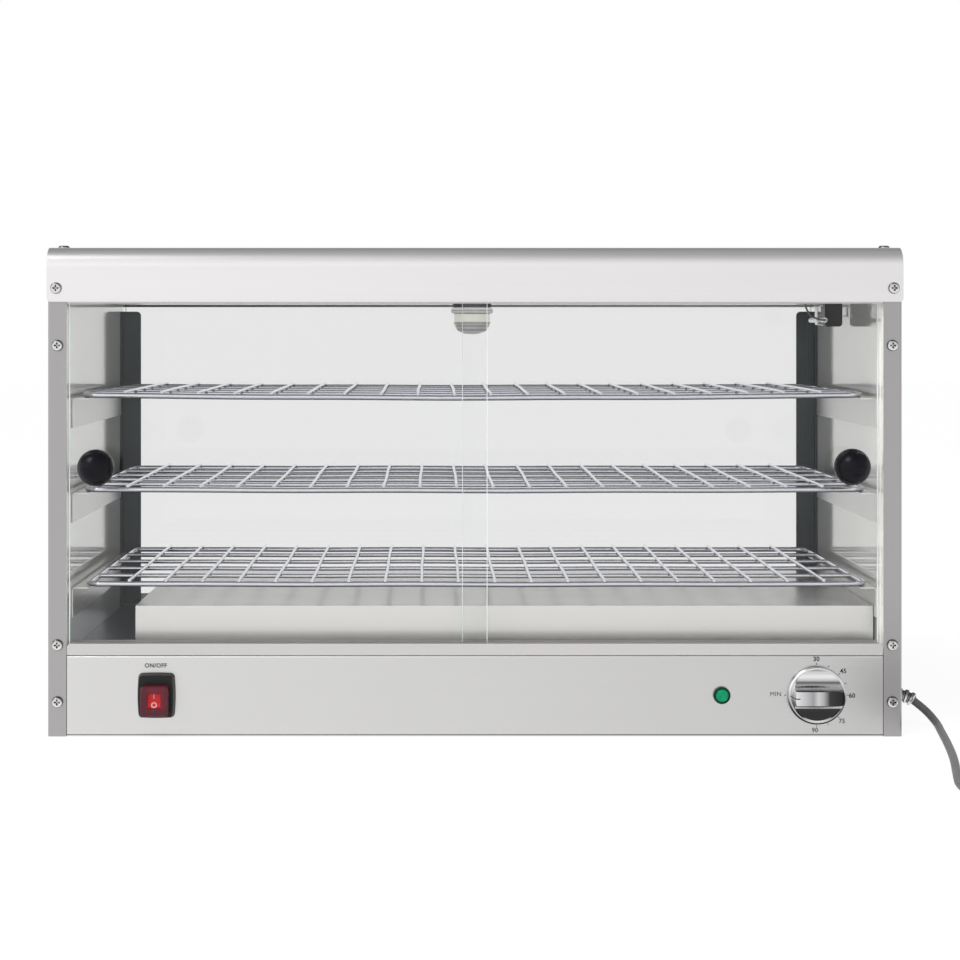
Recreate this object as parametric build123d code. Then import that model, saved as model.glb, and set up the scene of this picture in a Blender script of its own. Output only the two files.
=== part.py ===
from build123d import *
import math
import os

# Heated counter cabinet with two sliding glass doors, three wire racks and a control base.
# Millimetres. +X is to the right, +Y goes into the cabinet, +Z is up.
# The origin is on the resting surface, under the middle of the cabinet.

# Overall sizes
cabinet_width = 748.0
cabinet_depth = 350.0
base_height = 70.9
chamber_height = 309.5
hood_height = 46.8

# Sheet metal
sheet = 1.0
seam = 0.3
bend = 1.0
flange_width = 16.5
pan_flange = 17.0
cover_overhang = 1.0
cover_roll = 17.0
cover_edge_drop = 1.1
corner_round = 3.5
ceiling_front_turn = 13.0
ceiling_rear_turn = 9.0
floor_front_turn = 12.0
base_foot_turn = 14.0
rear_top_turn = 20.0

# Cooling slots in the base
pan_slot_count = 12
pan_slot_pitch = 20.0
pan_slot_start = 90.0
pan_slot_width = 5.0
pan_slot_length = 60.0
pan_slot_inset = 70.0
rear_slot_count = 19
rear_slot_pitch = 34.0
rear_slot_length = 22.0
rear_slot_width = 3.0
rear_slot_heights = (26.0, 46.0)

# Door tracks and sliding panes
track_pitch = 11.0
track_height = 10.0
head_track_height = 18.0
head_lip_drop = 2.5
pane_thickness = 4.0
pane_overlap = 22.0
pane_edge_gap = 1.0
pane_lift_room = 6.0

# Ball handles
ball_diameter = 32.0
ball_stand_off = 22.0
handle_neck_diameter = 12.0
handle_inset = 28.5
handle_height = 164.3
handle_screw_diameter = 5.0
handle_screw_reach = 11.5
handle_bore_depth = 12.1
handle_washer_diameter = 11.0
handle_washer_height = 1.0
handle_head_diameter = 8.5
handle_head_height = 2.2
pane_edge_break = 0.5

# Rear glazing
rear_recess = 22.5
rear_pane_thickness = 4.0
post_depth = 19.0
post_width = 18.9
post_top_drop = 6.8
rear_channel_lip = 10.0
rear_head_lip = 11.0
rear_ledge_rise = 1.6
rear_pane_rise = 9.5

# Racks and their brackets
rack_count = 3
rack_first_height = 57.8
rack_pitch = 84.0
rack_side_gap = 11.2
rack_front_depth = 29.5
rack_rear_depth = 313.0
frame_rod = 5.0
cross_rod = 4.0
wire_rod = 3.0
wire_count = 20
wire_pitch = 32.5
wire_overhang = 2.0
rack_rows = 5
rack_corner = 11.0
rack_bite = 0.6
rack_shifts = (2.0, 0.5, -1.5)
bracket_leg = 26.0
bracket_shelf = 15.0
bracket_front_depth = 24.5
stud_drop = 11.5
stud_front_inset = 40.0
stud_rear_inset = 50.0
stud_diameter = 4.0
stud_length = 8.0
stud_nut = 7.0
stud_nut_height = 3.2
stud_weld_gap = 0.05

# Element cover and element
element_cover_left = 55.5
element_cover_depth = 33.0
element_cover_height = 37.8
element_rod = 6.5
element_length = 590.0
element_spacing = 140.0
element_height = 20.0
element_bend = 18.0
element_end_inset = 30.0
element_tail_drop = 22.0
element_cover_end_gap = 1.5
end_slot_count = 9
end_slot_pitch = 28.0
end_slot_start = 30.0
end_slot_length = 14.0
end_slot_width = 4.0
end_slot_heights = (10.0, 20.0)
clip_strip = 1.5
clip_foot = 14.0
clip_side = 12.0
clip_top = 8.0
clip_places = (0.3, 0.75)
clip_room = 0.2

# Ceiling lamp
lamp_depth = 134.0
lamp_rim_diameter = 39.5
lamp_rim_height = 5.3
lamp_dome_diameter = 34.5
lamp_dome_height = 19.6
lamp_seal_height = 4.6
lamp_seal_diameter = 36.0
lamp_neck_diameter = 25.0
lamp_neck_height = 9.0
lamp_glass_wall = 2.0
lamp_can_diameter = 30.0
lamp_can_height = 33.0
bulb_diameter = 18.0
bulb_cap_diameter = 14.0
bulb_drop = 11.0
lamp_crown = 11.0
lamp_flange_width = 6.0
lamp_flange_height = 1.5
lamp_floor = 4.0
lamp_socket_depth = 12.0
lamp_shoulder = 4.0

# Temperature probe at the right end of the ceiling
probe_depth = 160.0
probe_block_width = 16.7
probe_block_height = 22.6
probe_block_length = 20.0
probe_wall_gap = 5.6
probe_bulb_diameter = 5.0
probe_bulb_length = 70.0
capillary_diameter = 1.8
probe_arm_drop = 12.9
probe_arm_width = 12.0
probe_arm_leg = 9.0
probe_bulb_drop = 16.5
probe_bulb_lead = 25.0
clip_width = 10.0
clip_stand = 0.9

# Rocker switch
control_z = 36.2
rocker_inset = 78.8
rocker_drop = 2.8
rocker_bezel_width = 33.5
rocker_bezel_height = 39.9
rocker_bezel_stand = 7.0
rocker_bezel_bulge = 1.1
rocker_bezel_corner = 4.0
rocker_bezel_taper = 12.0
rocker_seat_depth = 2.0
rocker_body_width = 22.0
rocker_body_height = 30.0
rocker_body_length = 24.0
rocker_boot_width = 24.4
rocker_boot_height = 26.2
rocker_boot_stand = 18.5
rocker_boot_corner = 3.0
rocker_boot_wall = 0.8
paddle_width = 17.0
paddle_height = 21.0
paddle_tilt = 10.0
paddle_stand = 5.0
paddle_depth = 9.0
paddle_valley = 0.8
paddle_pivot_depth = 3.0
paddle_side_room = 0.7
paddle_end_room = 1.2
button_width = 13.0
button_height = 13.0
button_stand = 17.0

# Indicator, thermostat and knob
indicator_inset = 141.5
indicator_diameter = 15.0
indicator_body_diameter = 12.0
indicator_length = 26.0
indicator_collar = 3.0
indicator_raised = 9.9
indicator_raised_stand = 5.5
indicator_nut_height = 3.0
knob_inset = 58.5
knob_diameter = 51.0
knob_skirt = 4.0
knob_body_diameter = 47.0
knob_front_diameter = 43.0
knob_height = 19.0
knob_bar_width = 12.0
knob_line_width = 0.9
knob_line_depth = 0.5
knob_gap = 0.6
shaft_reach = 10.0
shaft_diameter = 6.0
shaft_clearance = 0.05
thermostat_bush_diameter = 10.0
thermostat_width = 36.0
thermostat_height = 42.0
thermostat_length = 24.0
thermostat_head_room = 9.0
tab_width = 8.0
tab_inset = 4.0
tab_length = 8.0
tab_thickness = 1.0

# Terminal block and wires in the base
terminal_inset = 90.0
terminal_length = 44.0
terminal_width = 24.0
terminal_height = 16.0
terminal_poles = 6
terminal_pitch = 7.2
terminal_bore = 3.6
supply_diameter = 5.0
loom_diameter = 4.0

# Screws
screw_head_diameter = 10.0
screw_head_height = 2.8
screw_shank_diameter = 5.0
screw_length = 6.0
screw_clearance = 0.3
hole_room = 0.5
screw_fit = 0.1
touch = 0.05
screw_heights = (30.2, 80.1, 342.4)
cover_screw_drop = 35.9
cover_screw_inset = 7.4
side_screw_inset = 8.4
recess_length = 5.2
recess_width = 1.5
recess_depth = 1.7
top_screw_inset = 7.0
top_screw_depths = (40.0, 310.0)

# Mains lead
lead_diameter = 7.0
floor_rest = 0.1
gland_depth = 60.0
gland_z = 25.5
gland_hex = 17.0
gland_spigot_diameter = 12.0
gland_nut_height = 5.0
spigot_inset = 3.0
gland_collar_diameter = 14.0
gland_collar_end = 10.0
gland_wide_end = 12.8
gland_mouth = 10.4
coil_centre = (435.5, -377.3)
coil_inner_radius = 27.0
coil_pitch = 7.6
coil_quarters_in = 11
coil_quarters_out = 12
coil_tail = 36.0
coil_run_in = 26.4
lead_first_run = 9.2

# Mains plug
relief_length = 24.0
relief_wide_end = 13.6
grip_start = 22.0
grip_length = 26.0
grip_width = 26.0
plug_flange_start = 46.0
plug_flange_length = 9.0
plug_flange_width = 34.0
plug_corner = 6.0
pin_start = 55.1
pin_length = 17.0
pin_width = 6.3
pin_thickness = 1.6

# Values worked out from the sizes above
front_y = -cabinet_depth / 2
rear_y = cabinet_depth / 2
side_x = cabinet_width / 2
wall_x = side_x - flange_width
inner_x = wall_x - seam
skin_x = side_x - sheet - seam
base_z = sheet + seam
sill_z = base_height + seam
floor_z = sill_z + sheet
ceiling_z = floor_z + chamber_height
cover_top_z = ceiling_z + hood_height
cover_edge_z = ceiling_z - cover_edge_drop
panel_top_z = cover_top_z - sheet - seam
track_depth = 2 * track_pitch + sheet
pane_x = wall_x - pane_edge_gap
rack_width = 2 * (inner_x - rack_side_gap)
rocker_x = rocker_inset - wall_x
rocker_z = control_z - rocker_drop
indicator_x = wall_x - indicator_inset
knob_x = wall_x - knob_inset
cover_screw_x = side_x - cover_screw_inset
side_screw_x = side_x - side_screw_inset
lead_radius = lead_diameter / 2


def at_depth(depth):
    """The Y of a point that far behind the front flanges."""
    return front_y + depth


def block(x0, x1, y0, y1, z0, z1):
    """A plain box between two corners."""
    middle = Pos((x0 + x1) / 2, (y0 + y1) / 2, (z0 + z1) / 2)
    return middle * Box(x1 - x0, y1 - y0, z1 - z0)


def rod(start, end, diameter):
    """A straight round bar between two points."""
    reach = Vector(*end) - Vector(*start)
    section = Plane(origin=start, z_dir=reach) * Circle(diameter / 2)
    return extrude(section, amount=reach.length)


def strip(points, radii):
    """The cut through a folded sheet whose middle line follows the points."""
    return trace(FilletPolyline(*points, radius=radii), line_width=sheet)


def along_x(profile, x0, x1):
    """A profile drawn in Y and Z, drawn out from x0 to x1."""
    return extrude(Plane.YZ.offset(x0) * profile, amount=x1 - x0)


def along_y(profile, y0, y1):
    """A profile drawn in X and Z, drawn out from y0 to y1."""
    return extrude(Plane.XZ.offset(-y0) * profile, amount=y0 - y1)


def along_z(profile, z0, z1):
    """A profile drawn in X and Y, drawn out from z0 to z1."""
    return extrude(Plane.XY.offset(z0) * profile, amount=z1 - z0)


def edges_near(shape, axis, x=None, y=None, z=None):
    """Straight edges along an axis whose middle has the given coordinates."""
    found = shape.edges().filter_by(axis)
    if x is not None:
        found = found.filter_by(lambda e: abs(e.center().X - x) < seam)
    if y is not None:
        found = found.filter_by(lambda e: abs(e.center().Y - y) < seam)
    if z is not None:
        found = found.filter_by(lambda e: abs(e.center().Z - z) < seam)
    return found


def upright_hole(x, y, level, diameter):
    """A cutter for an upright clearance hole through a sheet at that level."""
    return rod((x, y, level - sheet), (x, y, level + sheet), diameter + 2 * hole_room)


def save(name, shape):
    """Write one piece, as its plain solids, to its own file."""
    solids = shape.solids()
    piece = solids[0] if len(solids) == 1 else Compound(children=list(solids))
    export_step(piece, f"parts/{name}.step")


def flipped(shape):
    """The same piece on the other side of the cabinet."""
    return mirror(shape, about=Plane.YZ)


# Screws

def pan_screw():
    """A cross-recessed pan-head screw, seated on the XY plane with its head up."""
    head = Cylinder(screw_head_diameter / 2, screw_head_height, align=(Align.CENTER, Align.CENTER, Align.MIN))
    head = fillet(head.edges().sort_by(Axis.Z)[-1], screw_head_height * 0.7)
    slot = Box(recess_length, recess_width, 2 * recess_depth)
    for turn in (0, 90):
        head -= Rot(0, 0, turn) * Pos(0, 0, screw_head_height) * slot
    return head + rod((0, 0, seam), (0, 0, -screw_length), screw_shank_diameter)


def case_screw_seats():
    """Where each case screw sits, and the way its head points."""
    cover_face = front_y - seam - sheet
    seats = []
    for side in (-1, 1):
        seats.append(((side * cover_screw_x, cover_face, cover_top_z - cover_screw_drop), (0, -1, 0)))
        for height in screw_heights:
            seats.append(((side * side_screw_x, front_y, height), (0, -1, 0)))
            seats.append(((side * side_screw_x, rear_y, height), (0, 1, 0)))
        for depth in top_screw_depths:
            top_x = side * (side_x - top_screw_inset)
            seats.append(((top_x, at_depth(depth), cover_top_z), (0, 0, 1)))
    return seats


def bracket_stud_seats():
    """Where the shelf brackets' weld studs stand, pointing out through the inner walls."""
    seats = []
    for side in (-1, 1):
        for index in range(rack_count):
            height = bracket_top(index) - stud_drop
            for depth in (bracket_front_depth + stud_front_inset, rack_rear_depth - stud_rear_inset):
                x = side * (inner_x + stud_weld_gap)
                seats.append(((x, at_depth(depth), height), (side, 0, 0)))
    return seats


def weld_stud():
    """A stud with its nut, standing on the XY plane, where it is welded to a bracket."""
    nut_seat = wall_x + sheet + seam - inner_x
    stud = rod((0, 0, 0), (0, 0, stud_length), stud_diameter)
    nut = extrude(Plane.XY.offset(nut_seat) * RegularPolygon(stud_nut / 2, 6, False), amount=stud_nut_height)
    return stud + nut


def set_screws(seats, screw):
    """One screw or stud for each seat."""
    placed = [Plane(origin=spot, z_dir=way).location * screw for spot, way in seats]
    return Compound(children=placed)


def drilled(shape, seats, shank_diameter):
    """The piece with a clearance hole at each seat."""
    hole = Cylinder(shank_diameter / 2 + screw_clearance, 4 * screw_length)
    for spot, way in seats:
        shape -= Plane(origin=spot, z_dir=way).location * hole
    return shape


# Casing

def make_base_pan():
    """Floor tray of the control base, with its side flanges turned up."""
    edge = skin_x - sheet / 2
    level = sheet / 2
    points = [(-edge, pan_flange), (-edge, level), (edge, level), (edge, pan_flange)]
    pan = along_y(strip(points, bend + sheet / 2), front_y + base_z, rear_y - base_z)
    slot = Box(pan_slot_width, pan_slot_length, 4 * sheet)
    for side in (-1, 1):
        for index in range(pan_slot_count):
            x = side * (pan_slot_start + pan_slot_pitch * index)
            pan -= Pos(x, rear_y - pan_slot_inset, level) * slot
    return pan


def make_side_panel():
    """Left outer skin, with flanges folded in at the front, rear and top."""
    edge = side_x - sheet / 2
    lip = wall_x + seam
    front = front_y + sheet / 2
    points = [(-lip, front), (-edge, front), (-edge, -front), (-lip, -front)]
    skin = along_z(strip(points, bend + sheet / 2), 0, panel_top_z)
    top_level = panel_top_z - sheet
    top = block(-edge, -lip, front_y + cover_roll, rear_y - cover_roll, top_level, panel_top_z)
    panel = skin + top
    nose = cover_roll - sheet
    nose_y = front_y + nose
    nose_z = panel_top_z - nose
    keep = extrude(Plane.YZ * Pos(nose_y, nose_z) * Circle(nose), amount=cabinet_width, both=True)
    square = block(-cabinet_width, 0, front_y - seam, nose_y, nose_z, panel_top_z + seam)
    panel -= square - keep
    return drilled(panel, case_screw_seats(), screw_shank_diameter)


def make_inner_wall():
    """Left chamber wall, folded outwards behind the outer skin's flanges."""
    face = wall_x + sheet / 2
    reach = side_x - sheet - 2 * bend
    front = front_y + sheet + seam + sheet / 2
    points = [(-reach, front), (-face, front), (-face, -front), (-reach, -front)]
    wall = along_z(strip(points, bend + sheet / 2), base_z, ceiling_z - seam)
    wall = drilled(wall, case_screw_seats(), screw_shank_diameter)
    return drilled(wall, bracket_stud_seats(), stud_diameter)


def make_top_cover():
    """Hood sheet with a rolled front edge and a flange down the back."""
    front = front_y - seam - sheet / 2
    level = cover_top_z - sheet / 2
    points = [(front, cover_edge_z), (front, level), (-front, level), (-front, cover_edge_z)]
    profile = strip(points, [cover_roll - sheet / 2, bend + sheet / 2])
    edge = side_x + cover_overhang
    cover = along_x(profile, -edge, edge)
    corners = edges_near(cover, Axis.Y, z=cover_edge_z)
    cover = fillet(corners, corner_round)
    return drilled(cover, case_screw_seats(), screw_shank_diameter)


def make_ceiling_panel():
    """Chamber ceiling, resting on both inner walls, with its front and rear edges turned up."""
    level = ceiling_z + sheet / 2
    front = at_depth(track_depth) + seam + sheet / 2
    rear = rear_pane_y() - sheet - 2 * seam - sheet / 2 - sheet
    points = [(front, level + ceiling_front_turn), (front, level), (rear, level),
              (rear, level + ceiling_rear_turn)]
    panel = along_x(strip(points, bend + sheet / 2), -skin_x, skin_x)
    lamp_hole = upright_hole(0, lamp_y(), level, lamp_can_diameter)
    x, y, z = capillary_route()[0]
    return panel - lamp_hole - upright_hole(x, y, level, capillary_diameter)


def make_chamber_floor():
    """Chamber floor, with its front and side edges turned down."""
    level = floor_z - sheet / 2
    front = at_depth(track_depth) + seam + sheet / 2
    points = [(front, level - floor_front_turn), (front, level), (rear_y - base_z - bend, level)]
    floor = along_x(strip(points, bend + sheet / 2), -inner_x, inner_x)
    for y in element_rows():
        floor -= upright_hole(element_end_x(), y, level, element_rod)
    return floor


def make_control_fascia():
    """Front panel of the base, folded back at its top and bottom edges."""
    front = front_y + sheet / 2
    low = base_z + sheet / 2
    high = base_height - sheet / 2
    points = [(front + base_foot_turn, low), (front, low), (front, high),
              (at_depth(track_depth) - sheet, high)]
    fascia = along_x(strip(points, bend + sheet / 2), -inner_x, inner_x)
    half_width = rocker_body_width / 2 + hole_room
    half_height = rocker_body_height / 2 + hole_room
    fascia -= block(rocker_x - half_width, rocker_x + half_width, front_y - sheet, front_y + 2 * sheet,
                    rocker_z - half_height, rocker_z + half_height)
    for x, diameter in ((indicator_x, indicator_body_diameter), (knob_x, thermostat_bush_diameter)):
        hole = diameter + 2 * hole_room
        fascia -= rod((x, front_y - sheet, control_z), (x, front_y + 2 * sheet, control_z), hole)
    return fascia


def make_rear_base_panel():
    """Closing panel behind the base, with cooling slots."""
    back = rear_y - sheet / 2
    low = base_z + sheet / 2
    high = base_height - sheet / 2
    points = [(back - base_foot_turn, low), (back, low), (back, high), (back - rear_top_turn, high)]
    panel = along_x(strip(points, bend + sheet / 2), -inner_x, inner_x)
    slot = Box(rear_slot_length, 4 * sheet, rear_slot_width)
    for index in range(rear_slot_count):
        x = rear_slot_pitch * (index - (rear_slot_count - 1) / 2)
        for height in rear_slot_heights:
            panel -= Pos(x, back, height) * slot
    return panel


# Door tracks and doors

def track_bar(web_z, lip_z):
    """An E-shaped track: a web and three lips, with a groove for each pane."""
    low, high = sorted((web_z, lip_z))
    web_low = web_z if web_z < lip_z else web_z - sheet
    bar = block(-inner_x, inner_x, front_y, at_depth(track_depth), web_low, web_low + sheet)
    for index in range(3):
        start = at_depth(index * track_pitch)
        bar += block(-inner_x, inner_x, start, start + sheet, low, high)
    return bar


def make_sill_track():
    """Bottom track, with the upper ends of its lips rounded."""
    top = sill_z + track_height
    bar = track_bar(sill_z, top)
    corners = [e for side in (-1, 1) for e in edges_near(bar, Axis.Y, x=side * inner_x, z=top)]
    return fillet(corners, corner_round)


def make_head_track():
    """Top track, hanging between the hood's face and the ceiling's front edge."""
    lip = ceiling_z - head_lip_drop
    return track_bar(lip + head_track_height, lip)


def pane_y(row):
    """Front face of the pane that runs in a groove: row 0 is the front groove."""
    groove = row * track_pitch + sheet
    return at_depth(groove + (track_pitch - sheet - pane_thickness) / 2)


def handle_x():
    """How far from the middle both handles sit."""
    return wall_x - handle_inset


def handle_z():
    """Height of both handles."""
    return floor_z + handle_height


def make_pane(side, row):
    """A sliding pane, drilled for its handle screw. Side is -1 for the left door."""
    edge = side * pane_x
    inner = -side * pane_overlap / 2
    top = ceiling_z - head_lip_drop + head_track_height - sheet - pane_lift_room
    face = pane_y(row)
    pane = block(min(edge, inner), max(edge, inner), face, face + pane_thickness, floor_z + seam, top)
    pane = chamfer(pane.edges().filter_by(Axis.Z), pane_edge_break)
    x = side * handle_x()
    z = handle_z()
    hole = handle_screw_diameter + 2 * hole_room
    return pane - rod((x, face - sheet, z), (x, face + pane_thickness + sheet, z), hole)


def make_handle(side, row):
    """Ball handle with a short neck, standing off the pane's face."""
    x = side * handle_x()
    face = pane_y(row)
    z = handle_z()
    ball = Pos(x, face - ball_stand_off, z) * Sphere(ball_diameter / 2)
    neck = rod((x, face - ball_stand_off, z), (x, face - touch, z), handle_neck_diameter)
    bore = rod((x, face - handle_bore_depth, z), (x, face, z), handle_screw_diameter + 2 * screw_fit)
    return ball + neck - bore


def make_handle_screw(side, row):
    """Screw with a washer behind the pane, up into the handle's neck."""
    x = side * handle_x()
    z = handle_z()
    back = pane_y(row) + pane_thickness + touch
    under_head = back + handle_washer_height
    washer = rod((x, back, z), (x, under_head, z), handle_washer_diameter)
    head = rod((x, back, z), (x, under_head + handle_head_height, z), handle_head_diameter)
    shank = rod((x, back, z), (x, pane_y(row) - handle_screw_reach, z), handle_screw_diameter)
    return washer + head + shank


# Rear glazing

def rear_pane_y():
    """Front face of the fixed rear pane."""
    return rear_y - rear_recess - rear_pane_thickness


def rear_channel_points(open_z, web_z):
    """Middle line of a glazing channel: its lips end at open_z."""
    front = rear_pane_y() - seam - sheet / 2
    back = rear_pane_y() + rear_pane_thickness + seam + sheet / 2
    return [(front, open_z), (front, web_z), (back, web_z), (back, open_z)]


def make_rear_sill_channel():
    """Channel on the chamber floor that the rear pane stands in."""
    web = floor_z + seam + sheet / 2
    points = rear_channel_points(web + rear_channel_lip, web)
    return along_x(strip(points, bend + sheet / 2), -inner_x, inner_x)


def make_rear_head_channel():
    """Channel over the rear pane, with a ledge that closes the gap to the hood."""
    open_z = ceiling_z - head_lip_drop + seam
    points = rear_channel_points(open_z, open_z + rear_head_lip)
    ledge_z = open_z + rear_ledge_rise
    points[-1] = (points[-1][0], ledge_z)
    points.append((rear_y - base_z - bend, ledge_z))
    return along_x(strip(points, bend), -inner_x, inner_x)


def make_rear_glass():
    """Fixed rear pane, standing in its two channels."""
    face = rear_pane_y()
    low = floor_z + sheet + 2 * seam
    high = ceiling_z - head_lip_drop + rear_pane_rise
    half = inner_x - pane_edge_gap
    return block(-half, half, face, face + rear_pane_thickness, low, high)


def make_rear_post():
    """Left corner angle in front of the rear pane, with a rounded upper corner."""
    wall_line = -(inner_x - sheet / 2)
    back = rear_pane_y() - sheet - 2 * seam - sheet / 2
    front = back + sheet / 2 - post_depth
    points = [(wall_line, front), (wall_line, back), (-wall_x + post_width, back)]
    top = ceiling_z - post_top_drop
    post = along_z(strip(points, bend + sheet / 2), floor_z + seam, top)
    corner = edges_near(post, Axis.Y, x=-wall_x + post_width, z=top)
    return fillet(corner, corner_round + bend)


# Racks and brackets

def rack_z(index):
    """Middle height of a rack's frame rod."""
    return floor_z + rack_first_height + rack_pitch * index


def bracket_top(index):
    """Top face of the brackets that carry a rack."""
    return rack_z(index) - frame_rod / 2 - 0.1


def make_bracket(index):
    """Left shelf bracket: a leg on the wall and a ledge for the rack."""
    wall_line = -(inner_x - sheet / 2)
    level = bracket_top(index) - sheet / 2
    points = [(wall_line, level - bracket_leg), (wall_line, level), (-wall_x + bracket_shelf, level)]
    stop = rear_pane_y() - 2 * sheet - 2 * seam - post_depth
    return along_y(strip(points, bend + sheet / 2), at_depth(bracket_front_depth), stop)


def make_rack():
    """Wire rack about the middle of its frame rod: frame, cross rods and thin wires on top."""
    half = rack_width / 2
    front = at_depth(rack_front_depth)
    rear = at_depth(rack_rear_depth)
    points = [(0, front, 0), (half, front, 0), (half, rear, 0), (0, rear, 0)]
    path = FilletPolyline(*points, radius=rack_corner)
    section = Plane(origin=path @ 0, z_dir=path % 0) * Circle(frame_rod / 2)
    side = sweep(section, path=path)
    rack = side + flipped(side)
    cross_z = (frame_rod - cross_rod) / 2
    for row in range(1, rack_rows):
        y = front + (rear - front) * row / rack_rows
        rack += rod((-half, y, cross_z), (half, y, cross_z), cross_rod)
    wire_z = (frame_rod + wire_rod) / 2 - rack_bite
    for index in range(wire_count):
        x = (index - (wire_count - 1) / 2) * wire_pitch
        rack += rod((x, front - wire_overhang, wire_z), (x, rear + wire_overhang, wire_z), wire_rod)
    return rack


# Element and its cover

def element_rows():
    """The Y of both runs of the element."""
    middle = at_depth(cabinet_depth / 2)
    return (middle - element_spacing / 2, middle + element_spacing / 2)


def element_end_x():
    """The X of the element's two ends, near the right wall."""
    return inner_x - element_end_inset


def make_element_cover():
    """Folded cover over the element, open underneath, with slots in its left end."""
    left = -wall_x + element_cover_left
    right = inner_x - element_cover_end_gap
    front = at_depth(element_cover_depth)
    rear = rear_pane_y() - 2 * sheet - 3 * seam
    low = floor_z + seam
    top = floor_z + element_cover_height
    cover = block(left, right, front, rear, low, top)
    cover -= block(left + sheet, right - sheet, front + sheet, rear - sheet, low - sheet, top - sheet)
    notch = wall_x - post_width - seam
    cover -= block(notch, wall_x, rear - post_depth, rear + sheet, low - sheet, top + sheet)
    for index in range(end_slot_count):
        y = front + end_slot_start + end_slot_pitch * index
        for height in end_slot_heights:
            cover -= block(left - sheet, left + 2 * sheet, y, y + end_slot_length,
                           low + height, low + height + end_slot_width)
    return cover


def make_heating_element():
    """Tubular element: one hairpin with both ends turned down through the floor."""
    near, far = element_rows()
    end = element_end_x()
    level = floor_z + element_height
    down = floor_z - element_tail_drop
    left = end - element_length
    points = [(end, near, down), (end, near, level), (left, near, level),
              (left, far, level), (end, far, level), (end, far, down)]
    path = FilletPolyline(*points, radius=element_bend)
    section = Plane(origin=path @ 0, z_dir=path % 0) * Circle(element_rod / 2)
    return sweep(section, path=path)


def make_element_clips():
    """Two upright strips that carry the element on the floor."""
    near, far = element_rows()
    strips = []
    low = floor_z + touch
    level = floor_z + element_height
    start = near - clip_side
    end = far + clip_side
    for share in clip_places:
        x = element_end_x() - element_length * share
        piece = block(x, x + clip_strip, start, end, low, level + clip_top)
        piece += block(x, x + clip_foot, start, end, low, low + clip_strip)
        for y in (near, far):
            hole = element_rod + 2 * clip_room
            piece -= rod((x - clip_strip, y, level), (x + 2 * clip_strip, y, level), hole)
        strips.append(piece)
    return Compound(children=strips)


# Ceiling lamp

def turned(points, x, y):
    """A body turned about the upright line at x and y, from radius and height pairs."""
    outline = make_face(Polyline(*points, close=True))
    return Pos(x, y, 0) * revolve(Plane.XZ * outline, Axis.Z)


def lamp_y():
    """Middle of the lamp."""
    return at_depth(lamp_depth)


def make_lamp_seal():
    """Dark ring between the ceiling and the glass cap."""
    low = ceiling_z - lamp_seal_height
    ring = rod((0, lamp_y(), low), (0, lamp_y(), ceiling_z - touch), lamp_seal_diameter)
    bore = lamp_can_diameter + 2 * clip_room
    return ring - rod((0, lamp_y(), low - sheet), (0, lamp_y(), ceiling_z), bore)


def make_lamp_holder():
    """Can above the ceiling that the glass cap screws into, with the bulb socket inside."""
    low = ceiling_z - lamp_seal_height
    high = low + lamp_can_height
    outer = lamp_can_diameter / 2
    bore = lamp_neck_diameter / 2 + seam
    socket = bulb_cap_diameter / 2 + seam
    flange = outer + lamp_flange_width
    seat = ceiling_z + sheet + touch
    over_flange = seat + lamp_flange_height
    socket_top = high + lamp_floor / 2
    socket_low = socket_top - lamp_socket_depth
    lid = socket_top + lamp_floor
    points = [(bore, low), (outer, low), (outer, seat), (flange, seat), (flange, over_flange),
              (outer, over_flange), (outer, lid), (0, lid), (0, socket_top), (socket, socket_top),
              (socket, socket_low), (bore, socket_low - lamp_shoulder)]
    return turned(points, 0, lamp_y())


def make_lamp_glass():
    """Clear screw-in cap: a neck, a gripping rim and a domed end."""
    rim_top = ceiling_z - lamp_seal_height - seam
    rim_low = rim_top - lamp_rim_height
    tip = rim_low - lamp_dome_height
    dome = lamp_dome_diameter / 2
    neck = lamp_neck_diameter / 2
    wall = lamp_glass_wall
    crown = lamp_crown
    line = [Line((0, tip), (3, tip)),
            ThreePointArc((3, tip), (dome * 0.8, tip + crown * 0.35), (dome, tip + crown)),
            Polyline((dome, tip + crown), (dome, rim_low), (lamp_rim_diameter / 2, rim_low),
                     (lamp_rim_diameter / 2, rim_top), (neck, rim_top), (neck, rim_top + lamp_neck_height),
                     (neck - wall, rim_top + lamp_neck_height), (neck - wall, rim_low + 2),
                     (dome - wall, rim_low), (dome - wall, tip + crown)),
            ThreePointArc((dome - wall, tip + crown), (dome * 0.8 - wall, tip + crown * 0.35 + wall),
                          (2, tip + wall)),
            Polyline((2, tip + wall), (0, tip + wall), (0, tip))]
    outline = make_face(Wire.combine([edge for piece in line for edge in piece.edges()])[0])
    return Pos(0, lamp_y(), 0) * revolve(Plane.XZ * outline, Axis.Z)


def make_lamp_bulb():
    """Small round lamp with its cap in the socket."""
    socket_z = ceiling_z - lamp_seal_height + lamp_can_height
    centre_z = ceiling_z - bulb_drop
    ball = Pos(0, lamp_y(), centre_z) * Sphere(bulb_diameter / 2)
    cap = rod((0, lamp_y(), centre_z), (0, lamp_y(), socket_z + lamp_floor / 2 - touch), bulb_cap_diameter)
    return ball + cap


# Temperature probe

def probe_block_x():
    """Left and right faces of the probe's black block."""
    right = wall_x - probe_wall_gap
    return right - probe_block_width, right


def probe_bulb_spot():
    """Middle of the front end of the probe's bulb."""
    left, right = probe_block_x()
    x = left - probe_bulb_diameter / 2 - seam
    return (x, at_depth(probe_depth) - probe_bulb_lead, ceiling_z - probe_bulb_drop)


def capillary_route():
    """Points of the thin tube, from above the ceiling to the bulb's front end."""
    x, y, z = probe_bulb_spot()
    return [(x - 17, y + 10, ceiling_z + 8), (x - 17, y + 10, ceiling_z - 4), (x - 12, y + 3, z + 3),
            (x - 4, y - 5, z), (x, y - 4, z), (x, y - touch, z)]


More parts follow.
